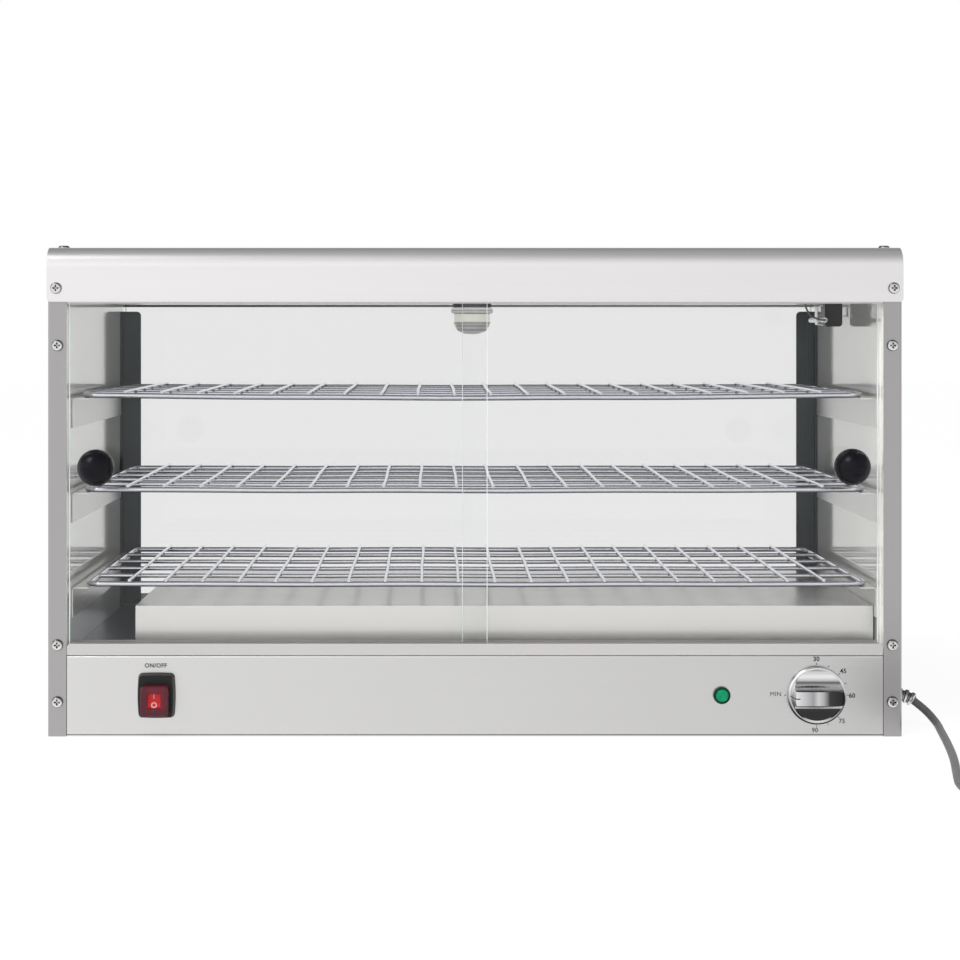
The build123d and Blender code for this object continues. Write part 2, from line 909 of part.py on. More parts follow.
def make_probe_holder():
    """Black moulded block under the ceiling, with rounded lower corners."""
    left, right = probe_block_x()
    y = at_depth(probe_depth)
    low = ceiling_z - probe_block_height
    body = block(left, right, y - probe_block_length / 2, y + probe_block_length / 2,
                 low, ceiling_z - touch)
    return fillet(edges_near(body, Axis.Y, z=low), corner_round)


def make_probe_bracket():
    """Small steel angle that ties the block to the wall, and the spring clip on its other side."""
    left, right = probe_block_x()
    y = at_depth(probe_depth)
    level = ceiling_z - probe_arm_drop
    wall_line = inner_x - sheet / 2
    points = [(right + touch, level), (wall_line, level), (wall_line, level + probe_arm_leg)]
    angle = along_y(strip(points, bend + sheet / 2), y - probe_arm_width / 2, y + probe_arm_width / 2)
    bulb_x, bulb_y, bulb_z = probe_bulb_spot()
    clip_left = bulb_x - probe_bulb_diameter / 2 - clip_stand
    clip_right = left - touch - sheet / 2
    clip_points = [(clip_right, ceiling_z - 2), (clip_left, ceiling_z - 4), (clip_left, bulb_z - 4),
                   (clip_right, bulb_z - 5)]
    clip = along_y(strip(clip_points, bend), y - clip_width / 2, y + clip_width / 2)
    return Compound(children=[angle, clip])


def make_probe_bulb():
    """Steel sensing bulb held by the clip."""
    x, y, z = probe_bulb_spot()
    return rod((x, y, z), (x, y + probe_bulb_length, z), probe_bulb_diameter)


# Controls

def rounded_box(width, height, radius, x, z, y, amount, taper=0.0):
    """A box with rounded upright corners, standing out of the fascia towards the front."""
    place = Plane(origin=(x, y, z), x_dir=(1, 0, 0), z_dir=(0, -1, 0))
    return extrude(place * RectangleRounded(width, height, radius), amount=amount, taper=taper)


def rocker_bezel(face):
    """Tapered bezel with bulging sides and rounded corners."""
    half_width = rocker_bezel_width / 2
    half_height = rocker_bezel_height / 2
    side_x0 = half_width - rocker_bezel_bulge
    side_z0 = half_height - rocker_bezel_bulge / 2
    sides = [ThreePointArc((-side_x0, side_z0), (0, half_height), (side_x0, side_z0)),
             ThreePointArc((side_x0, side_z0), (half_width, 0), (side_x0, -side_z0)),
             ThreePointArc((side_x0, -side_z0), (0, -half_height), (-side_x0, -side_z0)),
             ThreePointArc((-side_x0, -side_z0), (-half_width, 0), (-side_x0, side_z0))]
    outline = make_face(sides)
    outline = fillet(outline.vertices(), rocker_bezel_corner)
    place = Plane(origin=(rocker_x, face, control_z), x_dir=(1, 0, 0), z_dir=(0, -1, 0))
    return extrude(place * outline, amount=rocker_bezel_stand, taper=rocker_bezel_taper)


def make_rocker_housing():
    """Black bezel and the switch body behind the panel, with a well for the paddle."""
    face = front_y - touch
    body = rounded_box(rocker_body_width, rocker_body_height, bend, rocker_x, rocker_z,
                       face + rocker_body_length, rocker_body_length + sheet)
    well = rounded_box(paddle_width + 2 * paddle_side_room, paddle_height + 2 * paddle_end_room, bend,
                       rocker_x, rocker_z, front_y + paddle_depth + paddle_pivot_depth,
                       rocker_body_length + rocker_bezel_stand)
    seat = rounded_box(rocker_boot_width + 2 * screw_fit, rocker_boot_height + 2 * screw_fit,
                       rocker_boot_corner, rocker_x, rocker_z, front_y - rocker_seat_depth, rocker_boot_stand)
    return rocker_bezel(face) + body - well - seat


def make_rocker_boot():
    """Clear soft cover over the paddle, seated in the bezel."""
    start = front_y - rocker_seat_depth - touch
    length = rocker_boot_stand + start - front_y
    corner = rocker_boot_corner
    outer = rounded_box(rocker_boot_width, rocker_boot_height, corner, rocker_x, rocker_z, start, length)
    outer = fillet(outer.faces().sort_by(Axis.Y)[0].edges(), corner - 0.5)
    wall = rocker_boot_wall
    inner = rounded_box(rocker_boot_width - 2 * wall, rocker_boot_height - 2 * wall, corner - wall, rocker_x,
                        rocker_z, start + wall, length)
    inner = fillet(inner.faces().sort_by(Axis.Y)[0].edges(), corner - 0.5 - wall)
    return outer - inner


def paddle_pivot():
    """Point on the paddle's axle."""
    return (rocker_x, front_y + paddle_pivot_depth, rocker_z)


def make_rocker_paddle():
    """Rocking paddle with a raised button whose two flats meet in a valley, upper half pressed in."""
    x, y, z = paddle_pivot()
    half = paddle_height / 2
    heel = paddle_depth - paddle_pivot_depth
    points = [(heel, -half * 0.7), (heel, half * 0.7), (0, half), (-paddle_stand, half),
              (-paddle_stand, -half), (0, -half)]
    paddle = extrude(Plane.YZ * make_face(Polyline(*points, close=True)), amount=paddle_width / 2, both=True)
    edge = button_height / 2
    points = [(0, edge), (-button_stand, edge), (paddle_valley - button_stand, 0), (-button_stand, -edge),
              (0, -edge)]
    paddle += extrude(Plane.YZ * make_face(Polyline(*points, close=True)), amount=button_width / 2, both=True)
    return Pos(x, y, z) * Rot(-paddle_tilt, 0, 0) * paddle


def make_indicator_lens():
    """Green lens: a broad collar and a raised middle."""
    x = indicator_x
    base = front_y - touch
    collar = rod((x, base, control_z), (x, base - indicator_collar, control_z), indicator_diameter)
    collar = fillet(collar.edges().sort_by(Axis.Y)[0], bend)
    middle = rod((x, base, control_z), (x, base - indicator_raised_stand, control_z), indicator_raised)
    middle = fillet(middle.edges().sort_by(Axis.Y)[0], 1.5 * bend)
    return collar + middle


def make_indicator_body():
    """Lamp tube behind the lens, with its fixing nut inside the panel."""
    x = indicator_x
    tube = rod((x, front_y, control_z), (x, front_y + indicator_length, control_z), indicator_body_diameter)
    nut_y = front_y + sheet + touch
    nut = rod((x, nut_y, control_z), (x, nut_y + indicator_nut_height, control_z), indicator_diameter + 2)
    return tube + nut


def make_thermostat_body():
    """Thermostat behind the fascia, with a bush that the knob's shaft turns in."""
    start = front_y + sheet + touch
    back = start + thermostat_length
    half = thermostat_width / 2
    low = control_z - thermostat_height / 2
    high = low + thermostat_height - thermostat_head_room
    body = block(knob_x - half, knob_x + half, start, back, low, high)
    bush_end = (knob_x, start + sheet, control_z)
    body += rod((knob_x, front_y - touch, control_z), bush_end, thermostat_bush_diameter)
    for side in (-1, 1):
        middle = knob_x + side * (tab_inset + tab_width / 2)
        body += block(middle - tab_width / 2, middle + tab_width / 2, back - sheet, back - sheet + tab_length,
                      control_z - tab_width, control_z - tab_width + tab_thickness)
    bore_end = front_y + sheet + shaft_reach + 4 * sheet
    bore_diameter = shaft_diameter + 2 * shaft_clearance
    return body - rod((knob_x, front_y - sheet, control_z), (knob_x, bore_end, control_z), bore_diameter)


def make_thermostat_shaft():
    """Shaft from the thermostat's bush up into the knob."""
    return rod((knob_x, front_y - knob_gap - shaft_reach, control_z),
               (knob_x, front_y + sheet + shaft_reach, control_z), shaft_diameter)


def make_thermostat_knob():
    """Dial knob: a skirt, and a body scooped out above and below to leave a bar grip."""
    skirt = Cylinder(knob_diameter / 2, knob_skirt, align=(Align.CENTER, Align.CENTER, Align.MIN))
    skirt = fillet(skirt.edges().sort_by(Axis.Z)[-1], knob_skirt / 2)
    body = loft([Plane.XY * Circle(knob_body_diameter / 2),
                 Plane.XY.offset(knob_height) * Circle(knob_front_diameter / 2)])
    body = fillet(body.edges().sort_by(Axis.Z)[-1], knob_skirt / 2)
    scoop_radius = knob_height - knob_skirt
    for side in (-1, 1):
        middle = side * (knob_bar_width / 2 + scoop_radius)
        start = (-knob_diameter, middle, knob_height)
        body -= rod(start, (knob_diameter, middle, knob_height), 2 * scoop_radius)
    knob = skirt + body
    line_start = -knob_diameter / 2
    knob -= block(line_start, line_start + 2 * knob_skirt, -knob_line_width / 2, knob_line_width / 2,
                  knob_skirt - knob_line_depth, knob_height)
    knob -= rod((0, 0, -sheet), (0, 0, shaft_reach + touch), shaft_diameter + 2 * shaft_clearance)
    place = Plane(origin=(knob_x, front_y - knob_gap, control_z), x_dir=(1, 0, 0), z_dir=(0, -1, 0))
    return place.location * knob


# Wiring inside the base

def terminal_corner():
    """Low front left corner of the terminal block."""
    return (inner_x - terminal_inset, at_depth(gland_depth) - terminal_width / 2, base_z)


def make_terminal_block():
    """Six-pole terminal block on the base pan."""
    x, y, z = terminal_corner()
    top = z + terminal_height
    body = block(x, x + terminal_length, y, y + terminal_width, z, top)
    for index in range(terminal_poles):
        pole = x + terminal_length / 2 + terminal_pitch * (index - (terminal_poles - 1) / 2)
        for share in (0.25, 0.75):
            row = y + terminal_width * share
            body -= rod((pole, row, top - terminal_height / 2), (pole, row, top + sheet), terminal_bore)
    return body


def corner_radii(points, share=0.45):
    """The arc at each corner of a route, as large as its two runs allow."""
    spots = [Vector(*point) for point in points]
    radii = []
    for before, corner, after in zip(spots, spots[1:], spots[2:]):
        run_in = corner - before
        run_out = after - corner
        turn = math.radians(run_in.get_angle(run_out))
        radii.append(share * min(run_in.length, run_out.length) / math.tan(turn / 2))
    return radii


def route_tube(points, diameter):
    """A tube of straight runs and tangent arcs through a route."""
    path = FilletPolyline(*points, radius=corner_radii(points))
    section = Plane(origin=path @ 0, z_dir=path % 0) * Circle(diameter / 2)
    return sweep(section, path=path)


def make_wiring_loom():
    """Wires in the base: supply to the terminals, and from there to the switch."""
    x, y, z = terminal_corner()
    middle = y + terminal_width / 2
    level = z + terminal_height / 2
    end = x + terminal_length
    supply = [(wall_x - spigot_inset - seam, middle, gland_z), (end + 24, middle, gland_z - 0.5),
              (end + 13, middle, level + 0.5), (end + seam, middle, level)]
    run_y = y + terminal_width + 14
    rocker_back = front_y + rocker_body_length + seam
    to_rocker = [(x - seam, middle, level), (x - 40, middle + 4, z + 4), (x - 110, run_y, z + 3),
                 (rocker_x + 219, run_y + 3, z + 3), (rocker_x + 79, run_y - 2, z + 3),
                 (rocker_x + 24, run_y - 10, z + 9), (rocker_x, rocker_back + 16, rocker_z - 6),
                 (rocker_x, rocker_back, rocker_z - 4)]
    wires = [route_tube(supply, supply_diameter), route_tube(to_rocker, loom_diameter)]
    return Compound(children=wires)


# Mains lead

def gland_spout():
    """Middle line of the gland's flexible end, from along X to down and forwards."""
    start = Vector(side_x + gland_collar_end, at_depth(gland_depth), gland_z)
    end = start + Vector(13.5, -2.5, -4.5)
    return TangentArc(start, end, tangent=(1, 0, 0))


def make_cable_gland():
    """Nickelled gland in the right side, with a tapered flexible end for the lead."""
    y = at_depth(gland_depth)
    place = Plane(origin=(side_x + seam, y, gland_z), z_dir=(1, 0, 0))
    nut = extrude(place * RegularPolygon(gland_hex / 2, 6, False), amount=gland_nut_height)
    collar_end = side_x + gland_collar_end
    collar = rod((side_x + sheet, y, gland_z), (collar_end, y, gland_z), gland_collar_diameter)
    spigot = rod((wall_x - spigot_inset, y, gland_z), (collar_end, y, gland_z), gland_spigot_diameter)
    spout = gland_spout()
    sections = [Plane(origin=spout @ 0, z_dir=spout % 0) * Circle(gland_wide_end / 2),
                Plane(origin=spout @ 1, z_dir=spout % 1) * Circle(gland_mouth / 2)]
    boot = sweep(sections, path=spout, multisection=True)
    return nut + collar + spigot + boot


def gland_hole():
    """Clearance for the gland through the side skins."""
    y = at_depth(gland_depth)
    hole = gland_spigot_diameter + 2 * clip_room
    return rod((wall_x - sheet, y, gland_z), (side_x + sheet, y, gland_z), hole)


def lead_level():
    """Height of the lead's middle where it lies on the surface."""
    return lead_radius + floor_rest


def coil_steps():
    """Quarter-turn points of the coil with their directions: inwards below, then outwards above."""
    climb = 2
    reversal = coil_quarters_in + climb / 2
    steps = []
    for step in range(coil_quarters_in + climb + coil_quarters_out + 1):
        quarters = step - reversal
        radius = coil_inner_radius + coil_pitch * abs(quarters) / 4
        lift = min(max(step - coil_quarters_in, 0), climb) / climb
        angle = math.pi / 2 * (step - 1)
        outwards = Vector(math.cos(angle), math.sin(angle), 0)
        onwards = Vector(-math.sin(angle), math.cos(angle), 0)
        spread = math.copysign(coil_pitch / (2 * math.pi), quarters) if quarters else 0
        rise = 0 if quarters else 2 * coil_pitch / math.pi
        spot = Vector(*coil_centre, lead_level() + coil_pitch * lift) + outwards * radius
        way = (onwards * radius + outwards * spread + Vector(0, 0, rise)).normalized()
        steps.append((spot, way))
    return steps


def biarc(start, start_way, end, end_way):
    """Two arcs that leave along one direction and arrive along another."""
    reach = end - start
    both = start_way + end_way
    bend_share = 2 * (1 - start_way.dot(end_way))
    along = reach.dot(both)
    step = (math.sqrt(along * along + bend_share * reach.dot(reach)) - along) / bend_share
    middle = (start + end + (start_way - end_way) * step) / 2
    first = TangentArc(start, middle, tangent=start_way)
    return [first, TangentArc(middle, end, tangent=first % 1)]


def coil_path():
    """The coil's middle line: a straight end, the turns and a straight end."""
    steps = coil_steps()
    first, first_way = steps[0]
    last, last_way = steps[-1]
    pieces = [Line(first - first_way * lead_diameter, first)]
    for (spot, way), (next_spot, next_way) in zip(steps, steps[1:]):
        pieces.extend(biarc(spot, way, next_spot, next_way))
    pieces.append(Line(last, last + last_way * coil_tail))
    return Wire([edge for piece in pieces for edge in piece.edges()])


def coil_gap(path):
    """Least clear gap between turns of the coil, measured on points."""
    count = 1600
    spacing = path.length / count
    spots = [path.position_at(index / count) for index in range(count + 1)]
    spots = [(spot.X, spot.Y, spot.Z) for spot in spots]
    skip = int(6 * lead_diameter / spacing)
    least = min(math.dist(spots[a], spots[b]) for a in range(count) for b in range(a + skip, count + 1))
    return least - lead_diameter


def lead_route():
    """Points of the lead from the gland, along the surface and up to the coil."""
    spout = gland_spout()
    mouth = spout @ 1
    way = spout % 1
    first = mouth + way * lead_first_run
    level = lead_level()
    steps = coil_steps()
    coil_start = steps[0][0] - steps[0][1] * lead_diameter
    before_coil = coil_start - steps[0][1] * coil_run_in
    return [tuple(mouth), tuple(first), (409.7, -126.6, 10.4), (414, -140.4, level), (410.3, -163.2, level),
            (401.4, -225.8, level), (391, -287, level), (378, -346, level), (369.7, -387, level),
            (379.8, -412, level), tuple(before_coil), tuple(coil_start)]


def make_cord_lead():
    """The lead from the gland to the coil."""
    points = lead_route()
    tube = route_tube(points, lead_diameter)
    print("lead radii", [round(radius, 1) for radius in corner_radii(points)])
    path = FilletPolyline(*points, radius=corner_radii(points))
    expected = math.pi * lead_radius ** 2 * path.length
    print("lead length", round(path.length, 1), "volume share", round(tube.volume / expected, 4))
    return tube


def make_cord_coil():
    """The put-away part of the lead, wound in two layers."""
    path = coil_path()
    start = Plane(origin=path.position_at(0), z_dir=path.tangent_at(0))
    coil = sweep(start * Circle(lead_radius), path=path)
    expected = math.pi * lead_radius ** 2 * path.length
    print("coil length", round(path.length, 1), "volume share", round(coil.volume / expected, 4))
    print("coil least gap", round(coil_gap(path), 3))
    return coil


def plug_seat():
    """Plane at the coil's end: the plug lies along its normal."""
    steps = coil_steps()
    last, way = steps[-1]
    return last + way * coil_tail, way


def make_plug_body():
    """Moulded plug lying beside the coil, with a tapered strain relief."""
    spot, way = plug_seat()
    place = Plane(origin=spot, x_dir=(0, 0, 1), z_dir=way)
    relief_end = place.offset(relief_length)
    relief = loft([place * Circle(gland_mouth / 2), relief_end * Circle(relief_wide_end / 2)])
    height = 2 * (spot.Z - floor_rest)
    grip_section = RectangleRounded(height, grip_width, plug_corner)
    grip = extrude(place.offset(grip_start) * grip_section, amount=grip_length)
    flange_section = RectangleRounded(height, plug_flange_width, plug_corner)
    flange = extrude(place.offset(plug_flange_start) * flange_section, amount=plug_flange_length)
    return relief + grip + flange


def make_plug_pins():
    """Three flat pins: two slanted and one upright."""
    spot, way = plug_seat()
    face = Plane(origin=spot, x_dir=(0, 0, 1), z_dir=way).offset(pin_start)
    pins = []
    for across, up, turn in ((-7, 3, 30), (7, 3, -30), (0, -5.5, 90)):
        section = face * Pos(up, across) * Rot(0, 0, turn) * Rectangle(pin_width, pin_thickness)
        pins.append(extrude(section, amount=pin_length))
    return Compound(children=pins)


def build():
    """Make every piece and write it to its own file."""
    os.makedirs("parts", exist_ok=True)
    save("base_pan", make_base_pan())
    left_panel = make_side_panel()
    left_wall = make_inner_wall()
    save("left_side_panel", left_panel)
    save("right_side_panel", flipped(left_panel) - gland_hole())
    save("left_inner_wall", left_wall)
    save("right_inner_wall", flipped(left_wall) - gland_hole())
    save("top_cover", make_top_cover())
    save("ceiling_panel", make_ceiling_panel())
    save("chamber_floor", make_chamber_floor())
    save("control_fascia", make_control_fascia())
    save("rear_base_panel", make_rear_base_panel())
    save("door_sill_track", make_sill_track())
    save("door_head_track", make_head_track())
    for name, side, row in (("left", -1, 0), ("right", 1, 1)):
        save(f"{name}_door_glass", make_pane(side, row))
        save(f"{name}_door_knob", make_handle(side, row))
        save(f"{name}_door_screw", make_handle_screw(side, row))
    save("rear_glass", make_rear_glass())
    save("rear_sill_channel", make_rear_sill_channel())
    save("rear_head_channel", make_rear_head_channel())
    post = make_rear_post()
    save("left_rear_post", post)
    save("right_rear_post", flipped(post))
    rack = make_rack()
    for index, level in enumerate(("low", "mid", "top")):
        bracket = make_bracket(index)
        save(f"shelf_bracket_left_{level}", bracket)
        save(f"shelf_bracket_right_{level}", flipped(bracket))
        save(f"rack_{level}", Pos(rack_shifts[index], 0, rack_z(index)) * rack)
    save("element_cover", make_element_cover())
    save("heating_element", make_heating_element())
    save("element_clips", make_element_clips())
    save("lamp_seal", make_lamp_seal())
    save("lamp_holder", make_lamp_holder())
    save("lamp_glass", make_lamp_glass())
    save("lamp_bulb", make_lamp_bulb())
    save("probe_holder", make_probe_holder())
    save("probe_bracket", make_probe_bracket())
    save("probe_bulb", make_probe_bulb())
    save("probe_capillary", route_tube(capillary_route(), capillary_diameter))
    save("rocker_housing", make_rocker_housing())
    save("rocker_boot", make_rocker_boot())
    save("rocker_paddle", make_rocker_paddle())
    save("indicator_lens", make_indicator_lens())
    save("indicator_body", make_indicator_body())
    save("thermostat_body", make_thermostat_body())
    save("thermostat_shaft", make_thermostat_shaft())
    save("thermostat_knob", make_thermostat_knob())
    save("terminal_block", make_terminal_block())
    save("wiring_loom", make_wiring_loom())
    save("cable_gland", make_cable_gland())
    save("cord_lead", make_cord_lead())
    save("cord_coil", make_cord_coil())
    save("plug_body", make_plug_body())
    save("plug_pins", make_plug_pins())
    save("case_screws", set_screws(case_screw_seats(), pan_screw()))
    save("bracket_studs", set_screws(bracket_stud_seats(), weld_stud()))


build()
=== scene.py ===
# %% [markdown]
# # A heated counter cabinet, dressed for its picture
#
# The pieces of this cabinet are already modelled at their real size: folded steel, glass, wire
# racks, controls. This notebook loads them as a fixed frame, lays the mains lead, gives every
# piece its finish, adds the small things that only the eye needs, and sets up the studio.
# All lengths are in metres, +X is to the right, +Y goes into the cabinet and +Z is up.

# %% Load the frame
import bpy
import bmesh
import math
from mathutils import Matrix, Vector


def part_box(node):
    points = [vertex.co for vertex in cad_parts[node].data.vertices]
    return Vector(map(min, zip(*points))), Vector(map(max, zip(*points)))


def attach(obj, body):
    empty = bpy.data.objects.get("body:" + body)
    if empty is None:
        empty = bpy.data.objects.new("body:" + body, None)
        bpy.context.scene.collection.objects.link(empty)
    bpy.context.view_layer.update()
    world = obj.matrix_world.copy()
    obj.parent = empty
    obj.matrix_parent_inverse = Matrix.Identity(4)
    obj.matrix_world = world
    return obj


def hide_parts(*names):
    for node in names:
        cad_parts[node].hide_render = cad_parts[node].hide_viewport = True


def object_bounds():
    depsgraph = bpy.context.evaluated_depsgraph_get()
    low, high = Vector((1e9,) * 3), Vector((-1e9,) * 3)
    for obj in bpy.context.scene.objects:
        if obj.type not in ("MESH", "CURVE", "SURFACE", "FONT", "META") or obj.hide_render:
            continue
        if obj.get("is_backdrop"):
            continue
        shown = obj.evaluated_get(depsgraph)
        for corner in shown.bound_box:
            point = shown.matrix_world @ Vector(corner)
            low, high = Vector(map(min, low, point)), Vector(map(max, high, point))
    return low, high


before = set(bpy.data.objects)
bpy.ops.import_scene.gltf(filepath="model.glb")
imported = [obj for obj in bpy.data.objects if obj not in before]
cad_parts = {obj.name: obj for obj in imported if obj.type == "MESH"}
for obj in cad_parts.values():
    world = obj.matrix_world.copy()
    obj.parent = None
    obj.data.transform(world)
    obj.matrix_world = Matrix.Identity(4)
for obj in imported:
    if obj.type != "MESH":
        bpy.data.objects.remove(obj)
cad_low, cad_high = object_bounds()


def mm(*values):
    """Millimetres to metres: one number, or a vector of three."""
    scaled = [value / 1000 for value in values]
    return scaled[0] if len(scaled) == 1 else Vector(scaled)


def middle(node):
    """The middle of a node's box."""
    low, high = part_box(node)
    return (low + high) / 2


def added(name, data):
    """A new object in the scene, made from its data."""
    piece = bpy.data.objects.new(name, data)
    bpy.context.scene.collection.objects.link(piece)
    return piece


# %% [markdown]
# ## The camera
#
# A product picture like this one is taken from about two metres with a longish lens, so that the
# sides hardly splay. The lens stands level, a little above the racks, and its shift frames the
# cabinet without tilting the uprights. Turning the camera down would make them lean.

# %% Camera
CAMERA_PLACE = mm(-36.5, -1955, 355.9)
LENS_PIXELS = 2033
PICTURE_PIXELS = 960
SENSOR_WIDTH = 36.0
SHIFT = (0.04869, -0.15625)

camera_data = bpy.data.cameras.new("picture_camera")
camera_data.sensor_width = SENSOR_WIDTH
camera_data.lens = LENS_PIXELS / PICTURE_PIXELS * SENSOR_WIDTH
camera_data.shift_x, camera_data.shift_y = SHIFT
camera = added("picture_camera", camera_data)
camera.location = CAMERA_PLACE
camera.rotation_euler = (math.radians(90), 0, 0)
bpy.context.scene.camera = camera
print("lens", round(camera_data.lens, 1), "mm")

# %% [markdown]
# ## The mains lead
#
# The lead leaves the nickel gland on the right side, droops to the counter and runs forwards out
# of the picture. The part that the picture doesn't show is put away as a coil of two layers, with
# a tie, and ends in a moulded plug. One smooth spline carries all of it: the points below are its
# control points, and a formula gives the turns of the coil. A spline of order 3 runs inside its
# control points, so the coil's points stand out by a constant share to keep its real radius.

# %% Lead: the route
LEAD_DIAMETER = 0.007
LEAD_REST = mm(3.6)
GLAND_MOUTH = mm(397.5, -117.5, 21.0)
GLAND_WAY = Vector((0.7461, -0.3233, -0.5820))
GLAND_RUN = mm(9.2)
OPEN_ROUTE = [(409.7, -126.6, 10.4), (414, -140.4, 3.6), (410.3, -163.2, 3.6), (401.4, -225.8, 3.6),
              (391, -287, 3.6), (378, -346, 3.6), (369.7, -387, 3.6), (379.8, -412, 3.6)]
COIL_CENTRE = mm(435.5, -377.3, 3.6)
COIL_INNER_RADIUS = mm(27)
COIL_PITCH = mm(7.6)
QUARTERS_IN = 11
QUARTERS_CLIMB = 2
QUARTERS_OUT = 12
COIL_LEAD_IN = mm(33.4)
COIL_TAIL = mm(36)
POINTS_PER_TURN = 16


def flat_ways(angle):
    """Two level directions: outwards at an angle from the coil's middle, and onwards round it."""
    return Vector((math.cos(angle), math.sin(angle), 0)), Vector((-math.sin(angle), math.cos(angle), 0))


def coil_spot(quarters, stand_out=1.0):
    """A point of the coil, so many quarter turns after its start, and its direction."""
    from_reversal = quarters - QUARTERS_IN - QUARTERS_CLIMB / 2
    radius = (COIL_INNER_RADIUS + COIL_PITCH * abs(from_reversal) / 4) * stand_out
    climb = min(max((quarters - QUARTERS_IN) / QUARTERS_CLIMB, 0), 1)
    outwards, onwards = flat_ways(math.pi / 2 * (quarters - 1))
    return COIL_CENTRE + outwards * radius + Vector((0, 0, COIL_PITCH * climb)), onwards


def lead_points():
    """Control points of the whole lead: open route, coil and straight tail."""
    stand_out = 1 / (0.75 + 0.25 * math.cos(2 * math.pi / POINTS_PER_TURN))
    quarters_all = QUARTERS_IN + QUARTERS_CLIMB + QUARTERS_OUT
    steps = quarters_all * POINTS_PER_TURN // 4
    start, start_way = coil_spot(0)
    end, end_way = coil_spot(quarters_all)
    points = [GLAND_MOUTH, GLAND_MOUTH + GLAND_WAY * GLAND_RUN]
    points += [mm(*point) for point in OPEN_ROUTE]
    points += [start - start_way * COIL_LEAD_IN, start - start_way * LEAD_DIAMETER]
    points += [coil_spot((index + 0.5) * 4 / POINTS_PER_TURN, stand_out)[0] for index in range(steps)]
    points += [end + end_way * LEAD_DIAMETER * 0.4, end + end_way * COIL_TAIL]
    return points


route = lead_points()
print("lead control points", len(route))

# %% Lead: the curve
def smooth_curve(name, points, diameter):
    """A round cord along an order 3 spline. Its points carry the radius, as a curve's box counts that."""
    curve = bpy.data.curves.new(name, "CURVE")
    curve.dimensions = "3D"
    curve.resolution_u = 8
    curve.bevel_depth = 1
    curve.bevel_resolution = 5
    curve.use_fill_caps = True
    spline = curve.splines.new("NURBS")
    spline.points.add(len(points) - 1)
    for spot, point in zip(spline.points, points):
        spot.co = (*point, 1)
        spot.radius = diameter / 2
    spline.order_u = 3
    spline.use_endpoint_u = True
    return added(name, curve)


mains_lead = smooth_curve("mains_lead", route, LEAD_DIAMETER)
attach(mains_lead, "cabinet")
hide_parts("cord_lead", "cord_coil")

# %% [markdown]
# ## Mesh helpers
#
# Small pieces such as marks, bands and turned rings are built from a few lists of points. Most of
# them are rings of vertices joined by quads, so one helper makes those quads. The others make an
# object from vertices and faces, turn a profile about an axis, or carry a cross-section along a
# closed or open path. Writing them once keeps each piece short.

# %% Mesh helpers
def reworked(mesh, change):
    """Open a mesh for editing, let a function change it, and write it back."""
    work = bmesh.new()
    work.from_mesh(mesh)
    change(work)
    work.to_mesh(mesh)
    work.free()


def ring_faces(rings, count, closed=False):
    """Quads between rings of so many vertices, and from the last ring to the first when closed."""
    faces = []
    for ring in range(rings if closed else rings - 1):
        low = ring * count
        high = (ring + 1) % rings * count
        for index in range(count):
            after = (index + 1) % count
            faces.append((low + index, low + after, high + after, high + index))
    return faces


def capped_faces(rings, count):
    """The quads between rings of vertices, and a cap on the first ring and on the last."""
    last = (rings - 1) * count
    return ring_faces(rings, count) + [tuple(range(count)), tuple(range(last, last + count))]


def circle(sides):
    """Cosine and sine at even steps round a circle."""
    angles = [2 * math.pi * index / sides for index in range(sides)]
    return [(math.cos(angle), math.sin(angle)) for angle in angles]


def corner_arc(start, steps):
    """Cosine and sine along a quarter turn from a start in degrees, both its ends included."""
    angles = [math.radians(start + 90 * step / steps) for step in range(steps + 1)]
    return [(math.cos(angle), math.sin(angle)) for angle in angles]


def mesh_piece(name, vertices, faces, body, smooth_angle=None):
    """An object from plain lists, riding on a body, smooth across edges under the angle."""
    mesh = bpy.data.meshes.new(name)
    mesh.from_pydata([tuple(vertex) for vertex in vertices], [], faces)
    mesh.validate()
    reworked(mesh, lambda work: bmesh.ops.recalc_face_normals(work, faces=work.faces))
    piece = added(name, mesh)
    if smooth_angle is not None:
        mesh.shade_smooth()
        mesh.set_sharp_from_angle(angle=math.radians(smooth_angle))
    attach(piece, body)
    return piece


def turned(name, profile, place, body, sides, smooth_angle):
    """A profile of (radius, height) pairs, from axis to axis, turned about a placing matrix's Z."""
    vertices = [place @ Vector((radius * c, radius * s, height)) for radius, height in profile
                for c, s in circle(sides)]
    piece = mesh_piece(name, vertices, ring_faces(len(profile), sides), body, smooth_angle)
    reworked(piece.data, lambda work: bmesh.ops.remove_doubles(work, verts=work.verts, dist=1e-6))
    return piece


def loop_band(name, path, section, body, smooth_angle=35):
    """A closed band: the section's (out, across) pairs carried round a closed path of frames."""
    vertices = [spot + out * o + across * a for spot, out, across in path for o, a in section]
    return mesh_piece(name, vertices, ring_faces(len(path), len(section), closed=True), body, smooth_angle)


def tube(rings, sides=16, closed=False):
    """Vertices and faces of a bar through (spot, way, radius) rings, with caps unless it is closed."""
    vertices = []
    for spot, way, radius in rings:
        side = way.cross(Vector((0, 0, 1))).normalized()
        up = side.cross(way).normalized()
        vertices += [spot + (side * c + up * s) * radius for c, s in circle(sides)]
    return vertices, ring_faces(len(rings), sides, True) if closed else capped_faces(len(rings), sides)


def joined(name, parts, body, smooth_angle=35):
    """One piece from several (vertices, faces) pairs."""
    vertices = []
    faces = []
    for part_vertices, part_faces in parts:
        start = len(vertices)
        vertices += part_vertices
        faces += [tuple(start + index for index in face) for face in part_faces]
    return mesh_piece(name, vertices, faces, body, smooth_angle)


